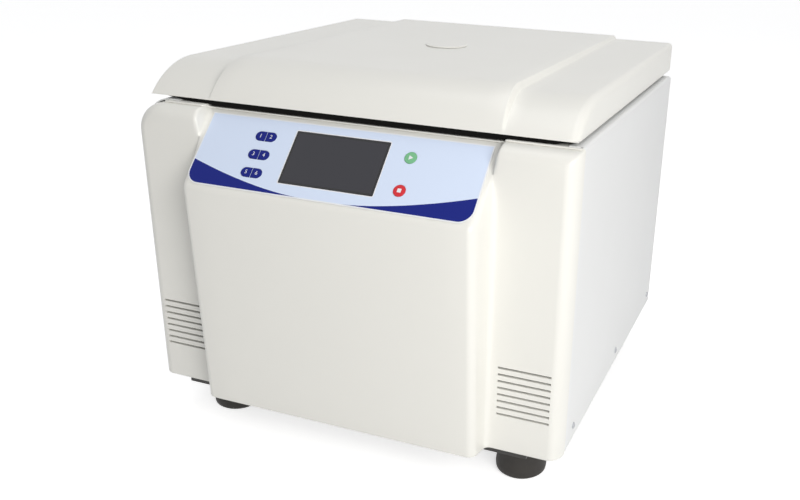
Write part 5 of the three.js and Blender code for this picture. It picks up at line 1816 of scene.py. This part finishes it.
    def liner(self) -> None:
        """The liner under the lid, with the boss that closes the chamber."""
        low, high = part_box("lid_liner")
        x0, x1 = low.x / MM, high.x / MM
        y0, y1 = low.y / MM - CABINET_Y, high.y / MM - CABINET_Y
        base, top = high.z / MM - 2.0, high.z / MM
        sheet = plate("lid_liner_sheet", rectangle(x0, x1, y0, y1, 3, 6), [], base, top, lambda p: p)
        dressed(bevelled(sheet, 0.5), LINER_PAINT, "lid", ["lid_liner"])
        face, groove, step, root, wide = base - 6, base - 4.4, base - 1, base - 0.05, 124
        ring = [(98, face), (101, groove), (106, groove), (109, face)]
        corners = [(0, face), *ring, (120, face), (wide, step), (wide, root), (0, root)]
        profile = rounded(corners, [0, 3, 2, 2, 3, 2.5, 1.5, 0, 0], 6)
        boss = turned_surface("lid_boss", profile, (0, self.chamber_y, 0), sides=128)
        dressed(smoothed(boss), BOWL_STEEL, "lid")
        self.front_seal()

    def front_seal(self) -> None:
        """A near-black strip under the front edge that stands for a rubber seal and paints the shade in the
        gap there; it hangs lower over the middle, where that shaded gap is taller.
        """
        (x0, x1), low, dip, top = self.seal_x, self.seal_low, self.seal_dip, self.bottom - 0.05
        turn, taper, slant = self.seal_turn, self.seal_taper, self.seal_slant
        middle = [(-turn - slant, low), (-turn, dip), (turn, dip), (turn + slant, low)]
        corners = [(x0, top), (x0 + taper, low), *middle, (x1 - taper / 2, low), (x1, top)]
        outline = rounded(corners, [0, 6, 2, 2, 2, 2, 3, 0], 5)
        front = self.front + self.lip
        strip = plate(
            "lid_front_seal", outline, [], front, front + self.seal_depth, lambda p: p[:, [0, 2, 1]]
        )
        dressed(bevelled(strip, 0.15), SEAL_SHADE_STRIP, "lid")


# Chamber


@dataclass
class Chamber:
    """What turns and what surrounds it: bowl, seal, rotor, spindle and drive."""

    centre_y: float = 247.5
    pockets: int = 6
    pocket_radius: float = 15.0
    pocket_tilt: float = math.radians(25)
    pocket_mouth: float = 60.0
    pocket_depth: float = 78.0
    rim_radius: float = 103.0
    rim_top: float = 312.0

    @property
    def foot(self) -> tuple[float, float, float]:
        """The axis's foot in the cabinet."""
        return (0.0, self.centre_y, 0.0)

    def cone(self, radius: float) -> float:
        """Height of the rotor's dished top at a radius."""
        return self.rim_top - (self.rim_radius - radius) * math.tan(self.pocket_tilt)

    def rotor(self) -> None:
        """The angle rotor: a turned body with slanted round-ended pockets cut into it."""
        profile = rounded(
            [
                (8.3, 205),
                (82, 205),
                (115, 236),
                (115, 278),
                (106, 311),
                (103, 312),
                (24, self.cone(24)),
                (24, 282),
                (22, 284),
                (8.3, 284),
            ],
            [0, 4, 6, 6, 1.5, 1.5, 3, 1, 1, 0],
            6,
        )
        body = turned_surface("rotor_body", profile, self.foot, sides=160, ring=True)
        depth, radius = self.pocket_depth, self.pocket_radius
        bottom = rounded(
            [(0, -depth), (radius, -depth), (radius, depth / 2), (0, depth / 2)], [0, 7.5, 0, 0], 8
        )
        sides = 48
        angles = np.arange(sides) * 2 * math.pi / sides
        cutters = []
        for k in range(self.pockets):
            r, h = bottom[:, 0, None], np.broadcast_to(bottom[:, 1, None], (len(bottom), sides))
            local = np.stack([r * np.cos(angles), r * np.sin(angles), h], -1).reshape(-1, 3)
            tilt = np.array(Matrix.Rotation(-self.pocket_tilt, 3, "Y"))
            spin = np.array(Matrix.Rotation((k + 0.5) * 2 * math.pi / self.pockets, 3, "Z"))
            mouth = np.array([self.pocket_mouth, 0, self.cone(self.pocket_mouth)])
            points = (local @ tilt.T + mouth) @ spin.T + np.array([0, self.centre_y, 0])
            cutters.append((points, quads(len(bottom), sides, closed_columns=True)))
        cutter = welded(joined("pocket_cutter", cutters))
        cut = body.modifiers.new("pockets", "BOOLEAN")
        cut.operation, cut.object, cut.solver = "DIFFERENCE", cutter, "EXACT"
        settled(body, 0.5)
        bpy.data.objects.remove(cutter)
        dressed(body, ROTOR_BLACK, "rotor", ["angle_rotor"])

    def nut(self) -> None:
        """The rotor's nut: a stud and a head whose rim is fluted.

        The rim's radius is drawn in by flute_depth * max(cos(flutes * angle), 0) ** 2, which cuts
        as many hollows as there are flutes.
        """
        seat = 284.3
        stud = [(0, 270.3), (4, 270.3), (4, seat)]
        profile = rounded(
            [*stud, (16.5, seat), (18, 286), (18, 303), (15, 306.3), (6, 306.3), (4.5, 305), (0, 305)],
            [0, 0.5, 0.4, 0.8, 0.8, 1.5, 1.5, 0.4, 0.6, 0],
            5,
        )
        nut = turned_surface("rotor_knob", profile, self.foot, sides=144)
        count = len(nut.data.vertices) * 3
        points = np.empty(count)
        nut.data.vertices.foreach_get("co", points)
        points = points.reshape(-1, 3)
        x, y = points[:, 0], points[:, 1] - (self.centre_y + CABINET_Y) * MM
        radius, angle = np.hypot(x, y), np.arctan2(y, x)
        flute_depth, flutes, flute_start = 1.1, 12, 16
        flute = flute_depth * MM * np.maximum(np.cos(flutes * angle), 0) ** 2 * (radius > flute_start * MM)
        scale = np.where(radius > 0, (radius - flute) / np.maximum(radius, 1e-9), 1)
        points[:, 0] = x * scale
        points[:, 1] = y * scale + (self.centre_y + CABINET_Y) * MM
        nut.data.vertices.foreach_set("co", points.ravel())
        dressed(smoothed(nut), ROTOR_BLACK, "nut", ["rotor_nut"])

    def bowl(self) -> None:
        """The drawn bowl, with a round bend at its floor and a flat rim on the deck."""
        low, wall, radius, bend = 185.0, 1.2, 128.0, 22.0
        rim, reach, hole = 344.8, 138.2, 30
        above = [(hole, low), (radius, low), (radius, rim + wall), (reach, rim + wall)]
        below = [(reach, rim), (radius + wall, rim), (radius + wall, low - wall), (hole, low - wall)]
        inner = rounded(above, [0, bend, 1.6, 0], 12)
        outer = rounded(below, [0, 0.4, bend + wall, 0], 12)
        bowl = turned_surface(
            "chamber_liner", np.concatenate([inner, outer]), self.foot, sides=160, ring=True
        )
        dressed(smoothed(bowl), BOWL_STEEL, "cabinet", ["chamber_bowl"])

    def seal(self) -> None:
        """The lid's seal: a foot on the deck and a hollow-sided bead."""
        x, z = 138.5, 344.8
        profile = rounded(
            [
                (x, z), (x + 8, z), (x + 8, z + 3), (x + 5.6, z + 3.4), (x + 5.8, z + 6.6),
                (x + 4, z + 8.9), (x + 2.2, z + 6.6), (x + 2.4, z + 3.4), (x, z + 3), (x, z),
            ],
            [0, 0.4, 0.8, 1, 1, 1.6, 1, 1, 0.8, 0],
            5,
        )
        seal = turned_surface("lid_seal", profile[:-1], self.foot, sides=144, ring=True)
        dressed(smoothed(seal), SEAL, "cabinet", ["chamber_gasket"])

    def build(self) -> None:
        """Builds the chamber's pieces and dresses the hidden ones."""
        self.rotor()
        self.nut()
        self.bowl()
        self.seal()
        shaft = refined("drive_spindle", "spindle", 0.2, 1)
        dressed(shaft, SHAFT_STEEL, "rotor", ["spindle"])
        boot = refined("shaft_boot", "spindle_boot", 0.5)
        dressed(boot, SEAL, "cabinet", ["spindle_boot"])
        plain = [
            ("armour_ring", "guard_ring", CASE_STEEL, "raw_steel", 0.5),
            ("motor_table", "motor_frame", DARK_PAINT, "black_steel", 0.5),
            ("motor_case", "drive_motor", CASE_STEEL, "raw_steel", 0.5),
            *[(f"rubber_mount_{k}", f"motor_damper_{k}", SEAL, "black_rubber", 0.3) for k in (1, 2, 3)],
            ("supply_case", "power_supply", CASE_STEEL, "raw_steel", 1.0),
            ("inverter_case", "motor_inverter", CASE_STEEL, "raw_steel", 1.0),
            ("lock_case", "lock_housing", BLACK, "black_plastic", 0.6),
        ]
        for name, node, finish, slot, width in plain:
            dressed(refined(name, node, width), finish, "cabinet", [node])
        dressed(refined("lock_tongue", "lock_bolt", 0.5), SHAFT_STEEL, "bolt", ["lock_bolt"])


# Rear fittings


@dataclass
class RearFittings:
    """The fan with its guard, the inlet, the switch and the fuse cap."""

    fan_x: float = -140.0
    fan_z: float = 140.0
    bore: float = 37.0
    hub: float = 15.0
    blades: int = 7
    guard_y: float = 415.3
    wire: float = 1.1

    def guard(self) -> None:
        """The wire guard: round wire rings joined by crossed round wires."""
        around, sides, stations = 96, 12, 5
        angle = np.arange(around) * 2 * math.pi / around
        y = self.guard_y + self.wire
        parts = []
        for k in (1, 2, 3):
            radius = k * self.bore / 3 + self.wire
            x, z = self.fan_x + radius * np.cos(angle), self.fan_z + radius * np.sin(angle)
            ring = np.stack([x, np.full(around, y), z], -1)
            parts.append(tube(ring, self.wire * 0.98, closed=True, sides=sides))
        reach = self.bore + self.wire
        for turn in (math.pi / 4, 3 * math.pi / 4):
            t = np.linspace(-reach, reach, stations)
            x, z = self.fan_x + t * math.cos(turn), self.fan_z + t * math.sin(turn)
            points, cells = tube(np.stack([x, np.full(stations, y), z], -1), self.wire * 0.8, sides=sides)
            end_cap = np.array([list(range(sides))])
            parts.append((points, cells))
            parts.append((points[:sides], end_cap[:, ::-1]))
            parts.append((points[-sides:], end_cap))
        guard = joined("fan_wire_guard", parts)
        dressed(smoothed(guard), ZINC, "cabinet", ["fan_guard"])

    def wheel(self) -> None:
        """The fan's wheel: a hub and curved blades.

        A blade's point is at radius r and chord share c, at angle a0 + twist(r) * (c - 1/2) and
        depth along the axis of c times the wheel's depth, with a slight camber.
        """
        low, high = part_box("fan_wheel")
        y0, y1 = low.y / MM - CABINET_Y, high.y / MM - CABINET_Y
        hub = rounded([(0, y0), (self.hub, y0), (self.hub, y1), (0, y1)], [0, 0.6, 2.0, 0], 6)
        wheel = turned_surface("fan_rotor_hub", hub, (self.fan_x, 0, self.fan_z), axis="y", sides=64)
        dressed(smoothed(wheel), BLACK, "fan", ["fan_wheel"])
        root, tip, rows, columns, edge_gap = 14.5, 35.2, 14, 9, 0.6
        r = np.linspace(root, tip, rows)[:, None]
        c = np.linspace(0, 1, columns)[None, :]
        y = np.broadcast_to(y0 + edge_gap + (y1 - y0 - 2 * edge_gap) * c, (rows, columns))
        twist = np.radians(44) - np.radians(14) * (r - root) / (tip - root)
        parts = []
        for k in range(self.blades):
            angle = k * 2 * math.pi / self.blades + twist * (c - 0.5) + 0.12 * np.sin(math.pi * c)
            sheet = np.stack([self.fan_x + r * np.cos(angle), y, self.fan_z + r * np.sin(angle)], -1)
            parts.append((sheet.reshape(-1, 3), quads(rows, columns)))
        blades = joined("fan_rotor_blades", parts)
        thick = blades.modifiers.new("thickness", "SOLIDIFY")
        thick.thickness, thick.offset = 1.3 * MM, 0.0
        dressed(settled(blades, 0.6), BLACK, "fan")

    def build(self) -> None:
        """Builds the rear fittings."""
        self.guard()
        self.wheel()
        cases = [
            ("fan_housing", "fan_frame", 0.4),
            ("mains_socket", "power_inlet", 0.4),
            ("switch_case", "mains_switch_body", 0.5),
        ]
        for name, node, width in cases:
            dressed(refined(name, node, width), BLACK, "cabinet", [node])
        rocker = refined("switch_rocker", "mains_switch_rocker", 0.6, 3)
        dressed(rocker, BLACK, "rocker", ["mains_switch_rocker"])
        fuse = refined("fuse_holder_cap", "fuse_cap", 0.5, 3)
        dressed(fuse, BLACK, "cabinet", ["fuse_cap"])


# Studio


@dataclass
class Studio:
    """The floor, the light and the camera at the photograph's place."""

    position: tuple[float, float, float] = (404.9, -697.2, 532.2)
    yaw: float = math.radians(19.891)
    pitch: float = math.radians(21.97)
    roll: float = math.radians(1.896)
    lens: float = 40.59
    shift: tuple[float, float] = (-0.1152, 0.0282)
    floor_half: float = 6.0

    def camera(self) -> None:
        """The camera, looking along (-sin yaw cos pitch, cos yaw cos pitch, -sin pitch)."""
        data = bpy.data.cameras.new("camera")
        data.lens, data.sensor_width = self.lens, 36.0
        data.shift_x, data.shift_y = self.shift
        data.clip_end = 50.0
        ahead = Vector(
            (
                -math.sin(self.yaw) * math.cos(self.pitch),
                math.cos(self.yaw) * math.cos(self.pitch),
                -math.sin(self.pitch),
            )
        )
        right = Vector((math.cos(self.yaw), math.sin(self.yaw), 0.0))
        up = right.cross(ahead)
        x = right * math.cos(self.roll) + up * math.sin(self.roll)
        y = up * math.cos(self.roll) - right * math.sin(self.roll)
        rotation = Matrix((x, y, -ahead)).transposed().to_4x4()
        camera = bpy.data.objects.new("camera", data)
        camera.matrix_world = Matrix.Translation(Vector(placed(np.array(self.position)))) @ rotation
        bpy.context.scene.collection.objects.link(camera)
        bpy.context.scene.camera = camera

    def lamp(
        self,
        name: str,
        place: tuple[float, float, float],
        aim: tuple[float, float, float],
        size: float,
        power: float,
        colour: tuple[float, float, float],
    ) -> None:
        """A square soft lamp.

        Args:
            name: the lamp's name.
            place: where it hangs, in metres.
            aim: the point it faces.
            size: its side in metres.
            power: its power in watts.
            colour: its colour.
        """
        data = bpy.data.lights.new(name, "AREA")
        data.shape, data.size, data.energy, data.color = "SQUARE", size, power, colour
        lamp = bpy.data.objects.new(name, data)
        lamp.location = place
        lamp.rotation_euler = (Vector(aim) - Vector(place)).to_track_quat("-Z", "Y").to_euler()
        bpy.context.scene.collection.objects.link(lamp)

    @staticmethod
    def seen(tree: bpy.types.NodeTree) -> bpy.types.NodeSocket:
        """1 for rays from the camera, off gloss or through glass, and 0 for the light's own rays."""
        path = add_node(tree, "ShaderNodeLightPath")
        first = add_node(
            tree,
            "ShaderNodeMath",
            {0: path.outputs["Is Camera Ray"], 1: path.outputs["Is Glossy Ray"]},
            operation="MAXIMUM",
        )
        both = add_node(
            tree,
            "ShaderNodeMath",
            {0: first.outputs[0], 1: path.outputs["Is Transmission Ray"]},
            operation="MAXIMUM",
        )
        return both.outputs[0]

    def floor(self) -> None:
        """A pale floor that reads as white and keeps the object's shadow."""
        h = self.floor_half
        corners = np.array([[-h, -h, 0], [h, -h, 0], [h, h, 0], [-h, h, 0]], float)
        floor = new_object("floor", corners, [[0, 1, 2, 3]])
        material, tree, shader = blank_material("floor")
        shader.inputs["Base Color"].default_value = (0.86, 0.86, 0.86, 1)
        shader.inputs["Roughness"].default_value = 0.9
        shader.inputs["Specular IOR Level"].default_value = 0.1
        glow = add_node(tree, "ShaderNodeEmission", {"Strength": 0.68})
        dark = add_node(tree, "ShaderNodeEmission", {"Strength": 0.0})
        chosen = add_node(
            tree, "ShaderNodeMixShader", {0: self.seen(tree), 1: dark.outputs[0], 2: glow.outputs[0]}
        )
        total = add_node(tree, "ShaderNodeAddShader", {0: shader.outputs[0], 1: chosen.outputs[0]})
        tree.links.new(total.outputs[0], tree.nodes["Material Output"].inputs["Surface"])
        floor.data.materials.append(material)

    def world(self) -> None:
        """An even soft light, seen as white."""
        world = bpy.data.worlds.new("studio")
        world.use_nodes = True
        tree = world.node_tree
        tree.nodes.clear()
        light = add_node(tree, "ShaderNodeBackground", {"Color": (0.97, 0.98, 1.0, 1), "Strength": 0.33})
        white = add_node(tree, "ShaderNodeBackground", {"Color": (1, 1, 1, 1), "Strength": 1.0})
        mix = add_node(
            tree, "ShaderNodeMixShader", {0: self.seen(tree), 1: light.outputs[0], 2: white.outputs[0]}
        )
        add_node(tree, "ShaderNodeOutputWorld", {"Surface": mix.outputs[0]})
        bpy.context.scene.world = world

    def build(self) -> None:
        """Sets up the camera, the floor and the lights."""
        bpy.context.scene.view_settings.view_transform = "Standard"
        self.camera()
        self.floor()
        self.world()
        warm, plain = (1.0, 0.985, 0.96), (1.0, 1.0, 1.0)
        self.lamp("key_lamp", (1.17, -1.23, 0.85), aim=(0, 0, 0.2), size=0.8, power=17.6, colour=warm)
        self.lamp("top_lamp", (0.1, 0.1, 2.2), aim=(0, 0, 0.3), size=1.4, power=9.5, colour=plain)


def main() -> None:
    """Builds the machine's pieces in order, then the studio."""
    logging.basicConfig(level=logging.INFO, format="%(name)s: %(message)s")
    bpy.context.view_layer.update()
    for assembly in (Front(), Panel(), Cabinet(), Lid(), Chamber(), RearFittings()):
        LOG.info("building %s", type(assembly).__name__)
        assembly.build()
    Studio().build()
    bpy.context.view_layer.update()


if __name__ == "__main__":
    main()
